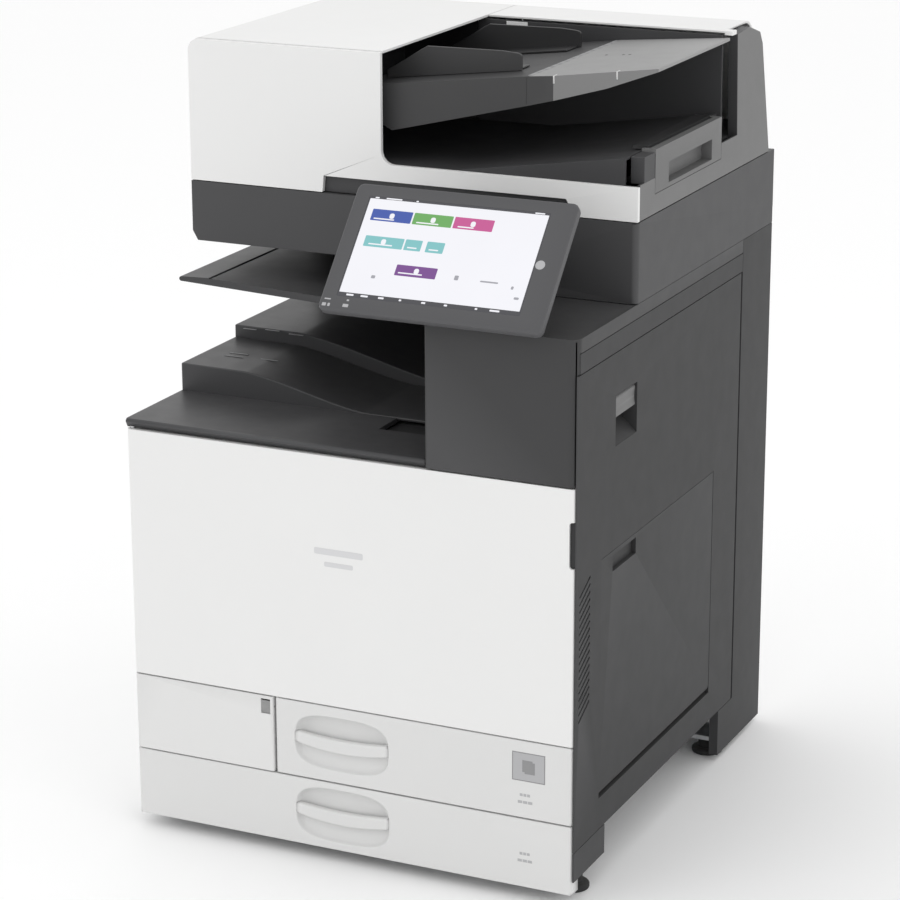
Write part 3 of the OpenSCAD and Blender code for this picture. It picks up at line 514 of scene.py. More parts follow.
@dataclass(frozen=True)
class Metal:
    """Zinc-plated sheet or turned steel."""

    slot: str
    colour: Colour
    roughness: float = 0.35
    streak: float = 240.0

    def make(self, name: str) -> bpy.types.Material:
        """Build the material.

        Args:
            name: the material's name.

        Returns:
            The new material.
        """
        sheet = MaterialSheet(name)
        # Sharp edges are brightened: a painted highlight with a little wear in it.
        bright = tuple(min(1.0, c * 1.25) for c in self.colour)
        highlight_and_wear = sheet.group(
            edge_highlight_and_wear_group(), Color=(*self.colour, 1.0), Edge_Color=(*bright, 1.0), Edge=0.5, Drift=0.3
        )
        sheet.feed(highlight_and_wear.outputs["Color"], "Base Color")
        sheet.shader.inputs["Metallic"].default_value = 1.0
        gloss = sheet.group(mottle_group(), Base=self.roughness, Amount=0.3)
        sheet.feed(gloss.outputs["Roughness"], "Roughness")
        grain = sheet.group(grain_group(), Scale=self.streak)
        sheet.bump(grain.outputs["Height"], 0.15, 0.0001)
        return sheet.material


@dataclass(frozen=True)
class ClearGlass:
    """Float glass with a faint green edge."""

    slot: str
    colour: Colour

    def make(self, name: str) -> bpy.types.Material:
        """Build the material.

        Args:
            name: the material's name.

        Returns:
            The new material.
        """
        sheet = MaterialSheet(name)
        sheet.shader.inputs["Base Color"].default_value = (*self.colour, 1.0)
        sheet.shader.inputs["Transmission Weight"].default_value = 0.92
        gloss = sheet.group(mottle_group(), Base=0.03, Amount=0.02)
        sheet.feed(gloss.outputs["Roughness"], "Roughness")
        sheet.shader.inputs["IOR"].default_value = 1.5
        return sheet.material


@dataclass(frozen=True)
class Lit:
    """A lit area of the display, a little uneven as a backlight is."""

    slot: str
    colour: Colour
    strength: float = 0.75

    def make(self, name: str) -> bpy.types.Material:
        """Build the material.

        Args:
            name: the material's name.

        Returns:
            The new material.
        """
        sheet = MaterialSheet(name)
        dim = tuple(c * 0.9 for c in self.colour)
        highlight_and_wear = sheet.group(
            edge_highlight_and_wear_group(), Color=(*self.colour, 1.0), Edge_Color=(*dim, 1.0), Edge=0.0, Drift=0.06
        )
        sheet.feed(highlight_and_wear.outputs["Color"], "Emission Color")
        sheet.shader.inputs["Emission Strength"].default_value = self.strength
        sheet.shader.inputs["Base Color"].default_value = (0.02, 0.02, 0.02, 1.0)
        gloss = sheet.group(mottle_group(), Base=0.18, Amount=0.05)
        sheet.feed(gloss.outputs["Roughness"], "Roughness")
        return sheet.material


class Finish(Enum):
    """Every finish on the machine."""

    # In each moulded finish the second colour is the lighter one of sharp edges: a painted highlight with a little wear
    # in it.
    WHITE = Moulded("white_plastic", (0.77, 0.77, 0.765), (0.86, 0.86, 0.855), roughness=0.45, drift=0.02, specular=0.3)
    DRAWER_WHITE = Moulded("white_plastic", (0.68, 0.68, 0.675), (0.82, 0.82, 0.815), roughness=0.45, drift=0.02,
                           specular=0.3)
    SHEET_WHITE = Moulded("white_sheet", (0.84, 0.84, 0.83), (0.84, 0.84, 0.83), roughness=0.3, depth=0.00002)
    DARK = Moulded("dark_plastic", (0.062, 0.062, 0.064), (0.16, 0.16, 0.165), roughness=0.5, dust=0.02, specular=0.25)
    SIDE = Moulded("dark_plastic", (0.046, 0.046, 0.047), (0.14, 0.14, 0.145), roughness=0.55, dust=0.02, specular=0.15)
    DECK = Moulded("dark_plastic", (0.042, 0.042, 0.044), (0.10, 0.10, 0.105), roughness=0.42, dust=0.04, specular=0.4)
    EXIT_BLOCK = Moulded("dark_plastic", (0.045, 0.045, 0.046), (0.14, 0.14, 0.145), roughness=0.5, dust=0.02,
                         specular=0.25)
    BEZEL = Moulded("dark_plastic", (0.080, 0.080, 0.084), (0.16, 0.16, 0.165), roughness=0.42, specular=0.3)
    BLACK = Moulded("black_plastic", (0.018, 0.018, 0.019), (0.07, 0.07, 0.07), roughness=0.48)
    COLUMN = Moulded("mid_grey_plastic", (0.155, 0.155, 0.155), (0.26, 0.26, 0.26), roughness=0.5, specular=0.25)
    EXTENDER = Moulded("mid_grey_plastic", (0.145, 0.145, 0.145), (0.22, 0.22, 0.22), roughness=0.5, specular=0.25)
    MID_GREY = Moulded("mid_grey_plastic", (0.17, 0.17, 0.172), (0.26, 0.26, 0.26), roughness=0.5)
    LIGHT_GREY = Moulded("light_grey_plastic", (0.26, 0.26, 0.26), (0.42, 0.42, 0.42), roughness=0.5, dust=0.04,
                         specular=0.3)
    APRON = Moulded("light_grey_plastic", (0.058, 0.058, 0.059), (0.20, 0.20, 0.20), roughness=0.55, specular=0.2)
    APRON_END = Moulded("light_grey_plastic", (0.20, 0.20, 0.20), (0.32, 0.32, 0.32), roughness=0.5, specular=0.25)
    GUIDE = Moulded("dark_plastic", (0.045, 0.045, 0.046), (0.17, 0.17, 0.17), roughness=0.5, specular=0.25)
    MARK_GREY = Moulded("light_grey_plastic", (0.42, 0.42, 0.43), (0.42, 0.42, 0.43), roughness=0.4, edge=0.0)
    TRAY_GREY = Moulded("mid_grey_plastic", (0.24, 0.24, 0.245), (0.33, 0.33, 0.33), roughness=0.5)
    RUBBER = Moulded("roller_rubber", (0.022, 0.022, 0.023), (0.05, 0.05, 0.05), roughness=0.8, depth=0.0001)
    FOOT = Moulded("foot_rubber", (0.020, 0.020, 0.020), (0.06, 0.06, 0.06), roughness=0.75, dust=0.1)
    BOARD = Moulded("circuit", (0.03, 0.12, 0.05), (0.08, 0.2, 0.1), roughness=0.4)
    TONER_CYAN = Moulded("mid_grey_plastic", (0.02, 0.22, 0.42), (0.1, 0.4, 0.6), roughness=0.4)
    TONER_MAGENTA = Moulded("mid_grey_plastic", (0.42, 0.03, 0.16), (0.6, 0.15, 0.3), roughness=0.4)
    TONER_YELLOW = Moulded("mid_grey_plastic", (0.62, 0.48, 0.03), (0.75, 0.65, 0.2), roughness=0.4)
    ZINC = Metal("sheet_steel", (0.56, 0.57, 0.58))
    STEEL = Metal("pin_steel", (0.60, 0.60, 0.61), roughness=0.25)
    GLASS = ClearGlass("platen_glass", (0.90, 0.97, 0.95))
    SCREEN_WHITE = Lit("display", (0.93, 0.93, 0.98), 0.92)
    SCREEN_BAR = Lit("display", (0.10, 0.10, 0.12), 0.4)
    SCREEN_BLUE = Lit("display", (0.035, 0.10, 0.50))
    SCREEN_GREEN = Lit("display", (0.17, 0.50, 0.12))
    SCREEN_PINK = Lit("display", (0.72, 0.10, 0.36))
    SCREEN_TEAL = Lit("display", (0.26, 0.68, 0.70))
    SCREEN_PURPLE = Lit("display", (0.22, 0.06, 0.33))
    BADGE = Moulded("light_grey_plastic", (0.62, 0.62, 0.63), (0.62, 0.62, 0.63), roughness=0.35, edge=0.0)
    FEEDER_DARK = Moulded("dark_plastic", (0.048, 0.048, 0.050), (0.12, 0.12, 0.125), roughness=0.5, dust=0.02,
                          specular=0.25)
    FLOOR = Moulded("floor", (0.97, 0.97, 0.97), (0.97, 0.97, 0.97), roughness=0.7, edge=0.0, drift=0.0)
    SCREEN_GREY = Lit("display", (0.45, 0.45, 0.50))

    def material(self) -> bpy.types.Material:
        """Return this finish's material, made at its first use."""
        name = self.name.lower()
        return bpy.data.materials.get(name) or self.value.make(name)


# --- Pieces ---
def soften(piece: bpy.types.Object, width: float, segments: int) -> None:
    """Round a piece's sharp edges and even out its shading.

    Args:
        piece: the object.
        width: width of the round in metres, or 0 for none.
        segments: facets across it.
    """
    for face in piece.data.polygons:
        face.use_smooth = True
    if width > 0:
        bevel = piece.modifiers.new("edge_round", "BEVEL")
        bevel.width = width
        bevel.segments = segments
        bevel.limit_method = "ANGLE"
        bevel.angle_limit = math.radians(32)
        bevel.miter_outer = "MITER_ARC"
    weighted = piece.modifiers.new("even_shading", "WEIGHTED_NORMAL")
    weighted.weight = 80
    weighted.keep_sharp = False


def cad_box(node: str) -> tuple[Vector, Vector]:
    """Return the low and high corner of a CAD node's box, in millimetres."""
    low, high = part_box(node)
    return low / MM, high / MM


@dataclass(frozen=True)
class Patch:
    """Faces of a CAD node that take another finish: those in a box that look a given way."""

    finish: Finish
    low: tuple[float, float, float]
    high: tuple[float, float, float]
    facing: tuple[float, float, float] = (0.0, 0.0, 0.0)

    def holds(self, centre: Vector, normal: Vector) -> bool:
        """Say whether a face is in the patch.

        Args:
            centre: the face's centre in metres.
            normal: its normal.

        Returns:
            True if it is.
        """
        inside = all(low <= c / MM <= high for low, c, high in zip(self.low, centre, self.high))
        return inside and (self.facing == (0.0, 0.0, 0.0) or normal.dot(Vector(self.facing)) > 0.7)


def round_corner(piece: bpy.types.Object, node: str, reach: float, width: float) -> None:
    """Give the upright edges at a CAD node's front right corner a large round.

    Args:
        piece: the node's object.
        node: the node's name.
        reach: how far from the corner of the node's box such an edge may lie, in millimetres.
        width: width of the round in millimetres.
    """
    box_low, box_high = cad_box(node)
    low = Vector((box_high.x - reach, box_low.y - 1, box_low.z - 1))
    high = Vector((box_high.x + 1, box_low.y + reach, box_high.z + 1))
    weight = piece.data.attributes.new("bevel_weight_edge", "FLOAT", "EDGE")
    for edge in piece.data.edges:
        ends = [piece.data.vertices[index].co / MM for index in edge.vertices]
        inside = all(a <= c <= b for end in ends for a, c, b in zip(low, end, high))
        upright = abs(ends[0].x - ends[1].x) + abs(ends[0].y - ends[1].y) < 0.1
        weight.data[edge.index].value = 1.0 if inside and upright else 0.0
    bevel = piece.modifiers.new("corner_round", "BEVEL")
    bevel.width = width * MM
    bevel.segments = 6
    bevel.limit_method = "WEIGHT"
    bevel.use_clamp_overlap = False
    piece.modifiers.move(len(piece.modifiers) - 1, 1)


class SubAssembly:
    """A group of pieces that is built and dressed together."""

    def build(self) -> Iterator[bpy.types.Object]:
        """Yield each finished piece."""
        raise NotImplementedError

    def dress(
        self, node: str, finish: Finish, edge: float = 0.6, segments: int = 2, patches: Sequence[Patch] = (),
    ) -> bpy.types.Object:
        """Give a CAD node its material and rounded edges.

        Args:
            node: the node's name.
            finish: its finish.
            edge: width of the rounded edges in millimetres.
            segments: facets across each round.
            patches: boxes whose faces take another finish.

        Returns:
            The node's object.
        """
        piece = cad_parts[node]
        piece.data.materials.clear()
        piece.data.materials.append(finish.material())
        for face in piece.data.polygons:
            face.material_index = 0
        for patch in patches:
            piece.data.materials.append(patch.finish.material())
            for face in piece.data.polygons:
                if patch.holds(face.center, face.normal):
                    face.material_index = len(piece.data.materials) - 1
        weld = piece.modifiers.new("joined", "WELD")
        weld.merge_threshold = 0.000002
        soften(piece, edge * MM, segments)
        return piece

    def publish(
        self, name: str, bm: bmesh.types.BMesh, finish: Finish, body: str, replaces: Sequence[str] = (),
        edge: float = 0.0, segments: int = 3,
    ) -> bpy.types.Object:
        """Make an object from a mesh and let it ride on a body.

        Args:
            name: the piece's name.
            bm: its mesh, which is freed.
            finish: its finish.
            body: the CAD body that it moves with.
            replaces: CAD nodes that it stands for.
            edge: width of the rounded edges in millimetres.
            segments: facets across each round.

        Returns:
            The new object.
        """
        bmesh.ops.recalc_face_normals(bm, faces=bm.faces)
        mesh = bpy.data.meshes.new(name)
        bm.to_mesh(mesh)
        bm.free()
        mesh.materials.append(finish.material())
        piece = bpy.data.objects.new(name, mesh)
        bpy.context.scene.collection.objects.link(piece)
        soften(piece, edge * MM, segments)
        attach(piece, body)
        if replaces:
            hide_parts(*replaces)
        return piece


# --- Chassis and what it carries inside ---
@dataclass
class RollerShape:
    """A steel shaft with ribbed rubber sleeves, turned about an axis along Y."""

    name: str
    node: str
    body: str
    x: float
    z: float
    shaft: Span
    sleeves: tuple[float, ...]
    sleeve_length: float
    radius: float
    shaft_radius: float = 4.0
    rib_pitch: float = 2.0
    rib_depth: float = 0.35

    def profile(self) -> list[Point]:
        """Return distance and radius along the shaft."""
        points = [(self.shaft[0], self.shaft_radius - 0.6), (self.shaft[0] + 0.6, self.shaft_radius)]
        for start in self.sleeves:
            end = start + self.sleeve_length
            points += [(start, self.shaft_radius), (start + 0.01, self.radius - 1.0), (start + 1.0, self.radius)]
            ribs = int((self.sleeve_length - 3.0) / self.rib_pitch)
            for i in range(ribs):
                at = start + 1.5 + i * self.rib_pitch
                points += [(at, self.radius), (at + 0.4, self.radius - self.rib_depth),
                           (at + 0.9, self.radius - self.rib_depth), (at + 1.3, self.radius)]
            points += [(end - 1.0, self.radius), (end - 0.01, self.radius - 1.0), (end, self.shaft_radius)]
        points += [(self.shaft[1] - 0.6, self.shaft_radius), (self.shaft[1], self.shaft_radius - 0.6)]
        return points


@dataclass
class Chassis(SubAssembly):
    """Frame, feet, screws, rollers and the closed units of the engine."""

    foot_x: float = 268.0
    foot_y: Span = (-245.0, 213.0)
    foot_radius: float = 20.0
    stem_radius: float = 12.4
    screw_x: tuple[float, ...] = (-270.0, 0.0, 270.0)
    screw_z: tuple[float, ...] = (60.0, 360.0, 680.0)
    screw_y: Span = (341.0, 342.3)
    bottle_x: tuple[float, ...] = (-215.0, -115.0, -15.0, 85.0)
    bottle_z: float = 420.0
    bottle_y: Span = (-283.0, 200.0)

    def feet(self) -> bpy.types.Object:
        """Build the four levelling feet with their nuts and threads."""
        parts = []
        for x in (-self.foot_x, self.foot_x):
            for y in self.foot_y:
                r, s = self.foot_radius, self.stem_radius
                profile = [(0.0, r - 1.4), (0.5, r - 0.5), (1.6, r), (5.0, r), (6.6, r - 1.2), (8.0, r - 5.0),
                           (8.2, s), (10.0, s - 0.4)]
                for turn in range(7):
                    profile += [(10.4 + turn * 1.1, s - 1.2), (10.9 + turn * 1.1, s - 0.4)]
                profile += [(23.9, s - 0.8)]
                parts.append(lathe(profile, Axis.Z, (x, y), 40))
                nut = arc((x, y), s, 0, 300, 5)
                parts.append(prism(nut, Axis.Z, (18.4, 23.6)))
        return self.publish("feet", merge(*parts), Finish.FOOT, "machine", ["levelling_feet"], edge=0.3, segments=2)

    def screws(self) -> bpy.types.Object:
        """Build the rear cover's screws with round heads."""
        parts = []
        y0, y1 = self.screw_y
        for x in self.screw_x:
            for z in self.screw_z:
                head = [(y0 - 8.0, 2.0), (y0 - 0.01, 2.0), (y0, 3.9), (y0 + 0.7, 3.9), (y1 - 0.1, 3.1), (y1, 2.2)]
                parts.append(lathe(head, Axis.Y, (x, z), 28))
        return self.publish("rear_cover_screws", merge(*parts), Finish.STEEL, "machine", ["cover_screws"])

    def bottle(self, index: int, finish: Finish) -> bpy.types.Object:
        """Build one toner bottle with its spiral ribs and cap.

        Args:
            index: which bottle, from the left.
            finish: its colour.

        Returns:
            The bottle's object.
        """
        y0, y1 = self.bottle_y
        profile = [(y0, 14.0), (y0 + 0.8, 20.5), (y0 + 5.0, 21.8), (y0 + 6.0, 21.8), (y0 + 7.0, 27.0)]
        count = 46
        for i in range(count):
            at = y0 + 12.0 + i * (y1 - y0 - 20.0) / count
            profile += [(at, 27.8), (at + 3.0, 27.8), (at + 4.2, 25.6), (at + 6.5, 25.6)]
        profile += [(y1 - 1.0, 27.0), (y1, 25.0)]
        mesh = lathe(profile, Axis.Y, (self.bottle_x[index], self.bottle_z))
        nodes = ["toner_bottles"] if index == 0 else []
        return self.publish(f"toner_bottle_{index + 1}", mesh, finish, "machine", nodes)

    def rollers(self) -> Iterator[bpy.types.Object]:
        """Yield the exit, feed and pickup rollers."""
        shapes = (
            RollerShape("exit_rollers", "exit_roller", "exit_roller", 118, 597, (-174, 146),
                        (-150, -70, 10, 90), 24, 9),
            RollerShape("upper_feed_roller", "tray1_feed_roller", "tray1_feed_roller", 205, 182, (-66, 66),
                        (-60, 34), 26, 12),
            RollerShape("lower_feed_roller", "tray2_feed_roller", "tray2_feed_roller", 173, 84, (-66, 66),
                        (-60, 34), 26, 12),
            RollerShape("original_pickup_roller", "adf_pickup_roller", "pickup_roller", -105, 946, (-116.4, 177.4),
                        (-10, 36), 30, 11),
        )
        for shape in shapes:
            mesh = lathe(shape.profile(), Axis.Y, (shape.x, shape.z))
            yield self.publish(shape.name, mesh, Finish.RUBBER, shape.body, [shape.node])

    def build(self) -> Iterator[bpy.types.Object]:
        """Yield the chassis and everything fixed inside it."""
        yield self.dress("base_frame", Finish.ZINC, edge=0.3)
        yield self.dress("hinge_pins", Finish.STEEL, edge=0.2)
        yield self.feet()
        yield self.screws()
        colours = (Finish.BLACK, Finish.TONER_CYAN, Finish.TONER_MAGENTA, Finish.TONER_YELLOW)
        for index, finish in enumerate(colours):
            yield self.bottle(index, finish)
        yield self.dress("transfer_unit", Finish.BLACK, edge=1.0)
        yield self.dress("fuser_unit", Finish.MID_GREY, edge=1.0)
        yield self.dress("laser_unit", Finish.MID_GREY, edge=1.5)
        yield self.dress("waste_bottle", Finish.WHITE, edge=2.0, segments=3)
        yield self.dress("power_supply", Finish.BOARD, edge=1.0)
        yield self.dress("inner_front_panel", Finish.LIGHT_GREY, edge=0.5)
        yield from self.rollers()


# --- Outer covers ---
@dataclass
class OuterCovers(SubAssembly):
    """Fixed covers round the machine, the mains inlet and the power switch."""

    plate_x: Span = (-205.0, -145.0)
    plate_z: Span = (300.0, 340.0)

    def rating_plate(self) -> bpy.types.Object:
        """Build a blank silver rating plate on the rear cover."""
        back = cad_box("rear_cover")[1].y
        mesh = prism(rounded_rect(self.plate_x, self.plate_z, 2), Axis.Y, (back - 0.2, back - 0.02))
        return self.publish("rating_plate", mesh, Finish.MARK_GREY, "machine")

    def build(self) -> Iterator[bpy.types.Object]:
        """Yield the covers."""
        yield self.dress("left_cover", Finish.WHITE, edge=0.5)
        yield self.dress("rear_cover", Finish.WHITE, edge=0.5)
        yield self.dress("left_lower_panel", Finish.DRAWER_WHITE, edge=0.8, segments=3)
        yield self.dress("interface_panel", Finish.LIGHT_GREY, edge=0.3)
        yield self.dress("power_inlet", Finish.BLACK, edge=0.4)
        yield self.dress("power_switch", Finish.LIGHT_GREY, edge=0.5, segments=3)
        yield self.dress("right_lower_cover", Finish.SIDE, edge=0.6)
        yield self.dress("right_rear_cover", Finish.SIDE, edge=0.7, segments=3)
        yield self.dress("right_upper_cover", Finish.SIDE, edge=0.5)
        cover = self.dress("exit_block_cover", Finish.EXIT_BLOCK, edge=0.9, segments=3)
        round_corner(cover, "exit_block_cover", 3, 5)
        yield cover
        yield self.dress("inner_rear_cover", Finish.DECK, edge=0.8)
        yield self.dress("internal_tray", Finish.DECK, edge=0.6, segments=3)
        yield self.rating_plate()


# --- Drawers ---
@dataclass
class Drawer(SubAssembly):
    """A paper drawer: a moulded front with a bowl and a bowed grip, its tub and its lift plate."""

    number: int
    body: str
    handle_x: float = -9.0
    handle_width: float = 125.0
    handle_height: float = 68.0
    left_round: float = 6.0
    right_round: float = 4.0
    grip_depth: float = 9.0
    grip_round: float = 2.6
    back_depth: float = 20.0
    oval_points: int = 96
    mark_depth: float = 0.12
    has_symbol: bool = False

    @property
    def node(self) -> str:
        """Name of the CAD front."""
        return f"tray{self.number}_front"

    def limits(self) -> tuple[Vector, Vector]:
        """Return the CAD front's box in millimetres."""
        return cad_box(self.node)

    def slab_ring(self, inset_x: float, inset_z: float, depth: float) -> list[Vector]:
        """Return one ring round the front, at a depth behind the front plane.

        Args:
            inset_x: share of the upright edges' rounding still to come, 0 to 1.
            inset_z: inset of the level edges in millimetres.
            depth: distance behind the front plane in millimetres.

        Returns:
            The ring's points, as many as the oval has.
        """
        low, high = self.limits()
        left, right = low.x + inset_x * self.left_round, high.x - inset_x * self.right_round
        bottom, top = low.z + inset_z, high.z - inset_z
        centre = (low.z + high.z) / 2 + 1.0
        points = []
        for u, v in full_oval((0.0, 0.0), 2.0, 2.0, self.oval_points):
            half_w = right - self.handle_x if u > 0 else self.handle_x - left
            half_h = top - centre if v > 0 else centre - bottom
            stretch = 1.0 / max(abs(u), abs(v))
            x, z = self.handle_x + u * stretch * half_w, centre + v * stretch * half_h
            points.append(Vector((x, low.y + depth, z)) * MM)
        return points

    def bowl_ring(self, offset: float, depth: float, lean: float = 0.0) -> list[Vector]:
        """Return one ring of the handle bowl.

        Args:
            offset: how far inside the rim, in millimetres.
            depth: distance behind the front plane in millimetres.
            lean: share of the depth that is lost towards the bowl's lower edge.

        Returns:
            The ring's points.
        """
        low, high = self.limits()
        centre = (low.z + high.z) / 2 + 1.0
        width, height = self.handle_width - 2 * offset, self.handle_height - 2 * offset
        points = []
        for x, z in full_oval((self.handle_x, centre), width, height, self.oval_points):
            fall = 0.5 - (z - centre) / self.handle_height
            points.append(Vector((x, low.y + depth * (1.0 - lean * fall), z)) * MM)
        return points

    def front_mesh(self) -> bmesh.types.BMesh:
        """Return the front: outer slab, rim and bowl in one skin."""
        outer = [(0.0, 0.0, self.back_depth), (0.0, 0.0, 6.0), (0.09, 0.0, 3.5), (0.25, 0.0, 2.0), (0.5, 0.0, 0.9),
                 (0.64, 0.25, 0.4), (1.0, 0.9, 0.0)]
        bowl = [(-2.4, 0.0, 0.0), (-1.3, 0.05, 0.0), (-0.5, 0.45, 0.0), (0.0, 1.2, 0.0), (0.5, 3.0, 0.1),
                (1.4, 6.0, 0.2), (3.0, 9.5, 0.3), (6.0, 12.6, 0.4), (11.0, 14.6, 0.45), (18.0, 15.4, 0.5),
                (26.0, 15.5, 0.55)]
        rings = [self.slab_ring(*step) for step in outer] + [self.bowl_ring(*step) for step in bowl]
        return loft(rings)

    def grip_mesh(self) -> bmesh.types.BMesh:
        """Return the grip: a band that bows down and bulges a little, with round edges."""
        low, high = self.limits()
        centre = (low.z + high.z) / 2 + 1.0
        rings = []
        stations = 25
        for i in range(stations):
            t = i / (stations - 1) * 2 - 1
            top, bottom = centre + 5 + 4 * t * t, centre - 12 + 7 * t * t
            section = rounded_rect((low.y + 0.2 - 0.15 * (1 - t * t), low.y + self.grip_depth),
                                   (bottom, top), self.grip_round)
            x = self.handle_x + t * self.handle_width * 0.5
            rings.append([Vector((x, y, z)) * MM for y, z in section])
        return loft(rings)

    def marks(self) -> Iterator[bpy.types.Object]:
        """Yield the blank size marks and, on the upper drawer, a plain framed sheet symbol."""
        low, high = self.limits()
        face = low.y - self.mark_depth
        bars = []
        base = high.z - 66.0 if self.number == 1 else high.z - 42.0
        for row, (start, end) in enumerate(((225.0, 238.0), (222.5, 241.0))):
            z = base - row * 9.0
            for step in range(3):
                width = (end - start - 2.0) / 3
                x = start + step * (width + 1.0)
                bars.append(block((x, x + width), (face, low.y + 0.3), (z - 3.4, z)))
        yield self.publish(f"drawer_{self.number}_size_marks", merge(*bars), Finish.MARK_GREY, self.body)
        if self.has_symbol:
            sides = (
                ((215, 257), (187.4, 188.6)), ((215, 257), (152.4, 153.6)),
                ((215, 216.2), (153.6, 187.4)), ((255.8, 257), (153.6, 187.4)),
            )
            frame_bars = [block(x, (face, low.y + 0.3), z) for x, z in sides]
            yield self.publish("sheet_symbol_frame", merge(*frame_bars), Finish.TRAY_GREY, self.body)
            plate = block((216.2, 255.8), (low.y - 0.05, low.y + 0.3), (153.6, 187.4))
            yield self.publish("sheet_symbol_plate", plate, Finish.MARK_GREY, self.body)
            sheets = [block((228 + i * 3, 241 + i * 3), (face - 0.05 * i, low.y + 0.3), (164 - i * 2, 179 - i * 2))
                      for i in range(2)]
            yield self.publish("sheet_symbol", merge(*sheets), Finish.TRAY_GREY, self.body)

    def build(self) -> Iterator[bpy.types.Object]:
        """Yield the drawer's pieces."""
        whole = merge(self.front_mesh(), self.grip_mesh())
        yield self.publish(f"drawer_{self.number}_front", whole, Finish.DRAWER_WHITE, self.body, [self.node])
        yield self.dress(f"tray{self.number}_tub", Finish.TRAY_GREY, edge=1.0)
        yield self.dress(f"tray{self.number}_lift_plate", Finish.ZINC, edge=0.3)
        yield from self.marks()


@dataclass
class FrontCover(SubAssembly):
    """The white cover over the engine, with its finger notch and a blank badge."""

    badge_x: Span = (-41.0, 23.0)
    badge_z: tuple[Span, ...] = ((395.0, 403.0), (380.5, 386.5))
    badge_inset: float = 13.0
    notch_x: Span = (284.4, 291.0)
    notch_z: Span = (422.5, 477.5)

    def badge(self) -> bpy.types.Object:
        """Build a blank two-line badge from plain rounded bars."""
        face = cad_box("front_cover")[0].y
        bars = []
        for row, height in enumerate(self.badge_z):
            inset = self.badge_inset * row
            outline = rounded_rect((self.badge_x[0] + inset, self.badge_x[1] - inset), height, 1.8)
            bars.append(prism(outline, Axis.Y, (face - 0.1, face + 0.4)))
        return self.publish("blank_badge", merge(*bars), Finish.BADGE, "front_cover")

    def notch(self) -> bpy.types.Object:
        """Build the dark liner inside the finger notch."""
        front = cad_box("front_cover")[0].y
        mesh = prism(rounded_rect(self.notch_x, self.notch_z, 2), Axis.Y, (front + 3.0, front + 18.0))
        return self.publish("finger_notch_liner", mesh, Finish.BLACK, "front_cover", edge=0.5)

    def build(self) -> Iterator[bpy.types.Object]:
        """Yield the front cover's pieces."""
        yield self.dress("front_cover", Finish.WHITE, edge=0.8, segments=3)
        yield self.badge()
        yield self.notch()


# --- Output deck ---
@dataclass
class OutputDeck(SubAssembly):
    """The deck under the output cavity, with two raised steps that fall away to the right."""

    top: float = 530.0
    front_round: float = 4.0
    step_one: tuple[float, float, float, float] = (565.0, -205.0, -40.0, 531.0)
    step_two: tuple[float, float, float, float] = (581.0, -200.0, 20.0, 534.0)
    step_y: tuple[float, float, float] = (-170.0, -32.0, 189.5)
    step_end: float = 103.0
    well_x: Span = (3.0, 103.4)
    well_y: Span = (-219.0, -60.0)
    well_depth: float = 8.0
    samples: int = 28

    def step_outline(self, height: float, flat: float, low_x: float, low_z: float, left: float) -> list[Point]:
        """Return a step's side view: level at the left, then a smooth fall.

        Args:
            height: top at the left end.
            flat: where the fall starts.
            low_x: where it ends.
            low_z: height there.
            left: the step's left end.

        Returns:
            The closed outline in millimetres.
        """
        points = [(left, self.top - 3), (left, height), (flat, height - 1)]
        for i in range(1, self.samples):
            t = i / self.samples
            s = t * t * (3 - 2 * t)
            points.append((flat + (low_x - flat) * t, height - 1 + (low_z - height + 1) * (s + t) / 2))
        return points + [(low_x, low_z), (self.step_end, low_z), (self.step_end, self.top - 3)]

    def slab(self) -> bmesh.types.BMesh:
        """Return the deck's plate with a round front edge and the well beside the exit block."""
        low, high = cad_box("output_deck")
        r, (near, far) = self.front_round, self.well_y
        front = [(low.y + r, low.z), *reversed(arc((low.y + r, self.top - r), r, 90, 180, 6))]
        outline = front + [(near, self.top), (near, low.z)]
        return merge(
            prism(outline, Axis.X, (low.x, high.x)),
            block((low.x, self.well_x[0]), (near, high.y), (low.z, self.top)),
            block((self.well_x[0], high.x), (far, high.y), (low.z, self.top)),
            block((self.well_x[0], high.x), (near, far), (low.z, self.top - self.well_depth)),
        )

    def dashes(self) -> bpy.types.Object:
        """Build the small guide marks on the steps."""
        spots = ((-262, -236, -118, 565), (-262, -236, -104, 565), (-214, -190, -112, 564.2),
                 (-274, -256, -46, 581), (-246, -226, -40, 581), (-210, -190, -44, 580.2))
        parts = [block((x0, x1), (y, y + 2.2), (z - 0.4, z + 0.15)) for x0, x1, y, z in spots]
        return self.publish("step_marks", merge(*parts), Finish.TRAY_GREY, "machine")

    def build(self) -> Iterator[bpy.types.Object]:
        """Yield the deck's pieces."""
        left = cad_box("output_deck")[0].x
        y0, y1, y2 = self.step_y
        yield self.publish("deck_plate", self.slab(), Finish.DECK, "machine", ["output_deck"])
        first = prism(self.step_outline(*self.step_one, left), Axis.Y, (y0, y1))
        yield self.publish("deck_step_front", first, Finish.DECK, "machine", edge=1.6)
        second = prism(self.step_outline(*self.step_two, left), Axis.Y, (y1 - 0.5, y2))
        yield self.publish("deck_step_rear", second, Finish.DECK, "machine", edge=1.6)
        # The black sheet on the well's floor is painted shade: it stands for the dark gap where the deck runs under the
        # exit block.
        floor = self.top - self.well_depth
        well = block((self.well_x[0] + 0.3, self.well_x[1]), (self.well_y[0] + 0.3, y0 - 0.2), (floor, floor + 0.4))
        yield self.publish("deck_well_painted_shade", well, Finish.BLACK, "machine")
        yield self.dashes()


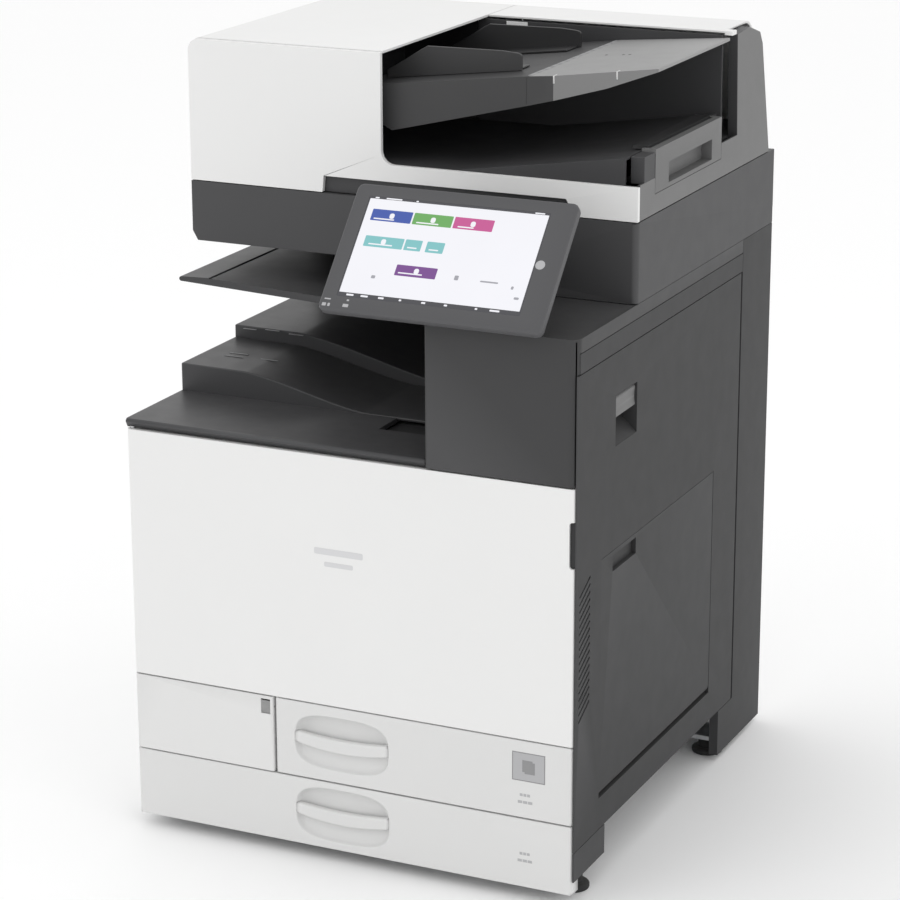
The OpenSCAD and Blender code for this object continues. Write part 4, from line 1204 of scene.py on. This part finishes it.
# --- Right side ---
@dataclass
class RightSide(SubAssembly):
    """Door, latch, bypass tray and its guides."""

    latch_z: Span = (569.0, 595.0)
    latch_x: Span = (283.0, 291.0)
    pin_place: Point = (285.5, 591.0)

    def latch(self) -> bpy.types.Object:
        """Build the latch flap: a curved pull plate on a pin."""
        low, high = cad_box("door_latch")
        x0, x1 = self.latch_x
        z0, z1 = self.latch_z
        outline = [(x0, z1 - 7), (x0, z0 + 4)] + arc((x0 + 3, z0 + 3), 3, 180, 270, 4)
        outline += arc((x1 - 2.6, z0 + 2.6), 2.6, 270, 360, 4)
        outline += [(x1 - 0.9 * math.sin(math.pi * i / 8), z0 + 2.6 + (z1 - z0 - 6.6) * i / 8) for i in range(1, 8)]
        outline += arc((x1 - 3.5, z1 - 3.5), 3.5, 0, 90, 5) + arc((x0 + 3, z1 - 3), 3, 90, 180, 4)
        flap = prism(outline, Axis.Y, (low.y + 2.5, high.y - 2.5))
        pin = [(low.y, 1.7), (low.y + 0.4, 2), (high.y - 0.4, 2), (high.y, 1.7)]
        rod = lathe(pin, Axis.Y, self.pin_place, 24)
        return self.publish("latch_flap", merge(flap, rod), Finish.COLUMN, "door_latch", ["door_latch"], edge=0.5)

    def build(self) -> Iterator[bpy.types.Object]:
        """Yield the right side's pieces."""
        yield self.dress("right_door", Finish.SIDE, edge=0.6)
        yield self.latch()
        yield self.dress("bypass_tray", Finish.SIDE, edge=0.8, segments=3)
        for node in ("bypass_extension", "bypass_guide_front", "bypass_guide_rear"):
            yield self.dress(node, Finish.MID_GREY, edge=0.6)


# --- Scanner and document feeder ---
@dataclass
class Scanner(SubAssembly):
    """Scanner housing, its glass and the carriage under it."""

    def build(self) -> Iterator[bpy.types.Object]:
        """Yield the scanner's pieces."""
        housing = self.dress("scanner_housing", Finish.DARK, edge=0.9, segments=3)
        round_corner(housing, "scanner_housing", 1, 7)
        yield housing
        yield self.dress("platen_glass", Finish.GLASS, edge=0.0)
        yield self.dress("scanner_carriage", Finish.BLACK, edge=0.8)
        yield self.dress("adf_hinges", Finish.ZINC, edge=0.4)


@dataclass
class Feeder(SubAssembly):
    """Document feeder: white covers, dark base, grey table, guides, extender and stopper."""

    table_seam: float = 146.0
    strip_parts: int = 13
    tick_x: tuple[float, ...] = (177.5, 246.0)
    table_y: Span = (-108.0, 172.0)
    taper_x: float = 177.0
    taper: float = 0.36

    @staticmethod
    def table_height(x: float) -> float:
        """Return the height of the table's surface at x, in millimetres."""
        return 922 + (x + 31) * 0.121 if x < 146 else 943.4 + (x - 146) * 0.085

    def table_marks(self) -> Iterator[bpy.types.Object]:
        """Yield the hinge strip, the light ticks on the rim and the small dark size marks."""
        seam, z = self.table_seam, self.table_height(self.table_seam)
        y0, y1 = self.table_y
        pitch = (y1 - y0 - 8) / self.strip_parts
        outline = rounded_rect((seam - 3.2, seam + 3.2), (z - 3.4, z + 0.7), 1.6, 3)
        starts = [y0 + 4 + i * pitch for i in range(self.strip_parts)]
        bars = [prism(outline, Axis.Y, (start, start + pitch - 2.0)) for start in starts]
        yield self.publish("table_hinge_strip", merge(*bars), Finish.TRAY_GREY, "original_table")
        ticks = []
        for x in self.tick_x:
            high, edge = self.table_height(x), y0 + (x - self.taper_x) * self.taper
            ticks.append(block((x - 0.9, x + 0.9), (edge - 0.3, edge + 9), (high - 9.0, high + 0.2)))
        yield self.publish("table_ticks", merge(*ticks), Finish.WHITE, "original_table")
        line = block((seam - 3.1, seam - 2.3), (y0 - 0.15, y0 + 1), (911, z - 1.5))
        yield self.publish("table_apron_seam", line, Finish.BLACK, "original_table")
        tab = block((-7, 22), (172.3, 173.1), (948, 957))
        yield self.publish("feeder_wall_tab", tab, Finish.WHITE, "feeder", edge=0.3)
        marks = []
        for x, width in ((96.0, 5.0), (120.0, 4.0), (178.0, 7.0), (200.0, 4.0), (208.0, 3.0)):
            high = self.table_height(x)
            marks.append(block((x, x + width), (46, 51), (high - 0.3, high + 0.25)))
        yield self.publish("table_size_marks", merge(*marks), Finish.BLACK, "original_table")

    def guide(self, name: str, node: str, y: float, side: int, finish: Finish) -> bpy.types.Object:
        """Build a side fence with a low foot.

        Args:
            name: the piece's name.
            node: the CAD node that it replaces, which is also its body.
            y: the fence's front face.
            side: +1 if its foot points to the rear, -1 if to the front.
            finish: its finish.

        Returns:
            The guide's object.
        """
        h = self.table_height
        top = [(-60, 929), (-30, 947), (-14, 957)] + arc((-6, 955), 6, 100, 85, 3) + [(90, 962), (110, 960.5)]
        top += arc((112, 956), 4, 60, 0, 4)
        outline = [(-60, h(-60) + 0.4)] + top + [(116, h(116) + 0.4)]
        fence = prism(outline, Axis.Y, (y, y + 4))
        foot = [(-20, h(-20) + 0.4), (-20, h(-20) + 2.4), (-18.5, h(-18) + 3.0), (110, h(110) + 3.0),
                (112, h(112) + 2.2), (112, h(112) + 0.4)]
        y0, y1 = sorted((y + 2, y + side * 34))
        sole = prism(foot, Axis.Y, (y0, y1))
        return self.publish(name, merge(fence, sole), finish, node, [node], edge=0.7)

    def extender_parts(self) -> Iterator[bpy.types.Object]:
        """Yield the corner block beside the extender, the extender and its stopper."""
        corner = block((276, 293.2), (-112, -79.2), (829.2, 860.8))
        yield self.publish("feeder_corner_block", corner, Finish.FEEDER_DARK, "feeder", edge=0.8)
        yield self.dress("exit_extender", Finish.EXTENDER, edge=0.9, segments=3)
        yield self.dress("exit_stopper", Finish.BLACK, edge=0.6, segments=3)

    def build(self) -> Iterator[bpy.types.Object]:
        """Yield the feeder's pieces."""
        column = Patch(Finish.COLUMN, (290, -130, 790), (295, 320, 965), (1, 0, 0))
        yield self.dress("adf_base", Finish.FEEDER_DARK, edge=0.7, patches=[column])
        for node, edge in (("adf_front_cover", 1.4), ("adf_rear_cover", 1.2), ("adf_feeder_cover", 1.2)):
            yield self.dress(node, Finish.WHITE, edge=edge, segments=3)
        yield self.dress("adf_feeder_frame", Finish.BLACK, edge=0.6)
        yield self.dress("platen_sheet", Finish.SHEET_WHITE, edge=0.2)
        aprons = [
            Patch(Finish.APRON, (-85, -109, 850), (177, -107, 960), (0, -1, 0)),
            Patch(Finish.APRON, (-85, -109, 900), (145, 173, 960), (0, 0, 1)),
            Patch(Finish.APRON_END, (177, -109, 850), (292, -60, 960), (0, -1, 0)),
        ]
        yield self.dress("original_table", Finish.LIGHT_GREY, edge=1.0, segments=3, patches=aprons)
        yield from self.table_marks()
        yield self.guide("front_guide", "original_guide_front", -60.0, 1, Finish.GUIDE)
        yield self.guide("rear_guide", "original_guide_rear", 120.0, -1, Finish.BLACK)
        yield from self.extender_parts()


# --- Operation panel ---
@dataclass
class OperationPanel(SubAssembly):
    """Tilting panel: housing, lit display with plain tiles, one round key and the arm."""

    centre: tuple[float, float, float] = (125.0, -286.629, 766.3)
    lean: float = 42.0
    width: float = 276.0
    height: float = 167.0
    thickness: float = 24.0
    corner: float = 8.0
    display_left: float = -117.5
    display_top: float = 65.5
    display_size: tuple[float, float] = (223.5, 124.0)
    key_place: Point = (231.0, 64.0)

    def matrix(self) -> Matrix:
        """Return the panel's own frame: x across, y up the face, z out of it."""
        turn = Matrix.Rotation(math.radians(90 - self.lean), 4, "X")
        return Matrix.Translation(Vector(self.centre) * MM) @ turn

    def on_face(self, right: float, down: float) -> Point:
        """Turn a place measured from the display's upper left corner into the panel's frame.

        Args:
            right: millimetres to the right.
            down: millimetres down the face.

        Returns:
            The place in millimetres from the middle of the face.
        """
        return self.display_left + right, self.display_top - down

    def plate(self, right: Span, down: Span, lift: Span, radius: float) -> bmesh.types.BMesh:
        """Return a rounded plate on the display.

        Args:
            right: left and right edge from the display's corner.
            down: upper and lower edge from the display's corner.
            lift: its back and front above the face.
            radius: corner radius.

        Returns:
            The plate's mesh in the row frame.
        """
        x0, y1 = self.on_face(right[0], down[0])
        x1, y0 = self.on_face(right[1], down[1])
        return moved(prism(rounded_rect((x0, x1), (y0, y1), radius, 3), Axis.Z, lift), self.matrix())

    def housing(self) -> bpy.types.Object:
        """Build the housing: a slim rim, a face with a sunk display, and a tapered back with two stems."""
        steps = ((9.0, -self.thickness), (3.5, -16.0), (0.4, -11.0), (0.0, -9.0), (0.0, -2.2), (0.5, -0.8), (1.6, -0.1),
                 (2.6, 0.0))
        rings = []
        for inset, depth in steps:
            outline = rounded_rect((-self.width / 2 + inset, self.width / 2 - inset),
                                   (-self.height / 2 + inset, self.height / 2 - inset),
                                   max(self.corner - inset * 0.4, 3.0), 6)
            rings.append([Vector((a, b, depth)) * MM for a, b in outline])
        screen_low, screen_high = self.on_face(-2.0, 130.0), self.on_face(225.5, -2.5)
        for inset, depth in ((0.0, 0.0), (0.25, -0.3), (0.3, -1.0)):
            outline = rounded_rect((screen_low[0] + inset, screen_high[0] - inset),
                                   (screen_low[1] + inset, screen_high[1] - inset), 2.0, 6)
            rings.append([Vector((a, b, depth)) * MM for a, b in outline])
        body = loft(rings)
        stem = [(2, -22), (46, -22), (35, -62), *arc((25, -64), 8.5, 10, -170, 8), (14, -62)]
        stems = [prism(stem, Axis.X, (x, x + 12)) for x in (-38, 26)]
        whole = moved(merge(body, *stems), self.matrix())
        return self.publish("panel_housing_shell", whole, Finish.BEZEL, "panel", ["panel_housing"])

    def display(self) -> Iterator[bpy.types.Object]:
        """Yield the lit display and its plain tiles."""
        w, h = self.display_size
        cover = self.plate((-1.6, w + 1.6), (-2.2, h + 5.6), (-1.0, -0.35), 1.6)
        yield self.publish("display_cover", cover, Finish.SCREEN_BAR, "panel", ["panel_screen"])
        lit = self.plate((0, w), (0.8, h), (-0.4, -0.28), 0.6)
        yield self.publish("display_lit_area", lit, Finish.SCREEN_WHITE, "panel")
        tiles = (
            ("tile_blue", Finish.SCREEN_BLUE, ((8, 59, 14, 29),)),
            ("tile_green", Finish.SCREEN_GREEN, ((61, 110, 14, 29),)),
            ("tile_pink", Finish.SCREEN_PINK, ((112, 161, 14, 29),)),
            ("tile_teal", Finish.SCREEN_TEAL, ((10, 59, 49, 63), (61, 82, 49, 63), (88, 110, 49, 63))),
            ("tile_purple", Finish.SCREEN_PURPLE, ((60, 111, 82, 96),)),
            ("small_symbols", Finish.SCREEN_GREY,
             ((33, 38, 99, 103), (134, 139, 88, 94), (166, 188, 91, 93), (205, 208, 94, 98), (212, 218, 107, 110))),
        )
        for name, finish, rows in tiles:
            parts = [self.plate((x0, x1), (y0, y1), (-0.3, -0.2), 1.0) for x0, x1, y0, y1 in rows]
            yield self.publish(name, merge(*parts), finish, "panel")
        glyphs = [self.plate((x, x + 6), (y, y + 7), (-0.22, -0.14), 2.4)
                  for x, y in ((31, 18), (83, 18), (133, 18), (31, 52), (83, 85))]
        yield self.publish("tile_glyphs", merge(*glyphs), Finish.SCREEN_WHITE, "panel")
        lines = [self.plate((x, x + length), (y, y + 1.6), (-0.22, -0.14), 0.6)
                 for x, y, length in ((12, 25.5, 26), (66, 25.5, 28), (118, 25.5, 20), (16, 58.6, 30), (65, 58.6, 12),
                                      (92, 58.6, 12), (64, 91.5, 30))]
        yield self.publish("tile_bars", merge(*lines), Finish.SCREEN_WHITE, "panel")
        bar = [self.plate((x, x + size), (125.6, 125.6 + 2.2), (-0.36, -0.2), 0.7)
               for x, size in ((10, 9), (28, 9), (50, 7), (76, 3), (104, 5), (132, 4), (170, 3), (188, 12))]
        bar += [self.plate((x, x + size), (-1.5, 0.1), (-0.36, -0.2), 0.5)
                for x, size in ((6, 5), (20, 20), (58, 3), (206, 12))]
        yield self.publish("status_symbols", merge(*bar), Finish.SCREEN_WHITE, "panel")

    def key(self) -> bpy.types.Object:
        """Build the round key with a dished top and a raised ring."""
        x, y = self.on_face(*self.key_place)
        profile = [(-3.0, 5.4), (-0.2, 5.9), (0.2, 5.7), (0.38, 5.1), (0.38, 4.6), (0.12, 4.2), (0.05, 2.0),
                   (0.04, 0.3)]
        cap = lathe(profile, Axis.Z, (x, y), 40)
        return self.publish("round_key", moved(cap, self.matrix()), Finish.MARK_GREY, "panel_key", ["panel_key"])

    def lamps(self) -> bpy.types.Object:
        """Build the small status lamps on the lower left of the bezel."""
        spots = ((-15, 134, 8, 1.6), (-16, 140, 5, 4.0), (-9, 140, 3, 4.0), (13, 133, 3, 2.2), (10, 139, 7, 4.0))
        parts = [self.plate((x, x + w), (y, y + h), (-0.05, 0.06), 0.7) for x, y, w, h in spots]
        return self.publish("status_lamps", merge(*parts), Finish.MARK_GREY, "panel")

    def build(self) -> Iterator[bpy.types.Object]:
        """Yield the panel's pieces."""
        yield self.dress("panel_arm", Finish.DARK, edge=1.4, segments=3)
        yield self.housing()
        yield from self.display()
        yield self.key()
        yield self.lamps()


# --- Studio ---
@dataclass(frozen=True)
class AreaLight:
    """A soft square light that faces the machine."""

    name: str
    place: tuple[float, float, float]
    size: float
    power: float

    def add(self, target: Vector) -> None:
        """Add the light to the scene.

        Args:
            target: the point that it faces.
        """
        data = bpy.data.lights.new(self.name, "AREA")
        data.size = self.size
        data.energy = self.power
        lamp = bpy.data.objects.new(self.name, data)
        lamp.location = self.place
        lamp.rotation_mode = "QUATERNION"
        lamp.rotation_quaternion = (target - lamp.location).to_track_quat("-Z", "Y")
        bpy.context.scene.collection.objects.link(lamp)


@dataclass
class Studio:
    """Pale floor, soft light and the camera."""

    camera_place: tuple[float, float, float] = (1.5321, -3.2869, 1.5592)
    yaw: float = 25.087
    pitch: float = 17.124
    roll: float = -0.187
    lens: float = 120.75
    sky: float = 1.0
    floor_size: float = 40.0
    lights: tuple[AreaLight, ...] = (
        AreaLight("key", (-2.2, -3.6, 3.2), 2.6, 16.0),
        AreaLight("fill", (3.4, -1.6, 2.2), 2.4, 8.0),
        AreaLight("top", (0.2, 0.4, 3.6), 2.6, 5.0),
    )

    def camera(self) -> None:
        """Add the camera and make it the scene's own."""
        yaw, pitch, roll = (math.radians(a) for a in (self.yaw, self.pitch, self.roll))
        ahead = Vector((-math.sin(yaw) * math.cos(pitch), math.cos(yaw) * math.cos(pitch), -math.sin(pitch)))
        level = Vector((math.cos(yaw), math.sin(yaw), 0.0))
        upright = level.cross(ahead)
        right = level * math.cos(roll) + upright * math.sin(roll)
        up = upright * math.cos(roll) - level * math.sin(roll)
        data = bpy.data.cameras.new("camera")
        data.lens = self.lens
        data.sensor_width = 36.0
        data.clip_start, data.clip_end = 0.05, 100.0
        camera = bpy.data.objects.new("camera", data)
        turn = Matrix((right, up, -ahead)).transposed().to_4x4()
        camera.matrix_world = Matrix.Translation(Vector(self.camera_place)) @ turn
        bpy.context.scene.collection.objects.link(camera)
        bpy.context.scene.camera = camera

    def floor(self) -> None:
        """Add the pale floor."""
        mesh = bpy.data.meshes.new("floor")
        half = self.floor_size / 2
        mesh.from_pydata([(-half, -half, 0), (half, -half, 0), (half, half, 0), (-half, half, 0)], [], [(0, 1, 2, 3)])
        mesh.materials.append(Finish.FLOOR.material())
        floor = bpy.data.objects.new("floor", mesh)
        bpy.context.scene.collection.objects.link(floor)
        floor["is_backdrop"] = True

    def light(self) -> None:
        """Add the sky and the soft lights."""
        world = bpy.data.worlds.new("studio")
        world.use_nodes = True
        background = world.node_tree.nodes["Background"]
        background.inputs["Color"].default_value = (1.0, 1.0, 1.0, 1.0)
        background.inputs["Strength"].default_value = self.sky
        bpy.context.scene.world = world
        bpy.context.scene.view_settings.view_transform = "Standard"
        low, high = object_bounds()
        for lamp in self.lights:
            lamp.add((low + high) / 2)

    def build(self) -> None:
        """Set up the whole studio."""
        self.camera()
        self.floor()
        self.light()


def main() -> None:
    """Build the studio and every sub-assembly."""
    Studio().build()
    assemblies: tuple[SubAssembly, ...] = (
        Chassis(),
        OuterCovers(),
        Drawer(1, "tray1", has_symbol=True),
        Drawer(2, "tray2"),
        FrontCover(),
        OutputDeck(),
        RightSide(),
        Scanner(),
        Feeder(),
        OperationPanel(),
    )
    for assembly in assemblies:
        for piece in assembly.build():
            LOG.info("%s: %s", type(assembly).__name__, piece.name)


if __name__ == "__main__":
    logging.basicConfig(level=logging.INFO, format="%(name)s %(message)s")
    main()
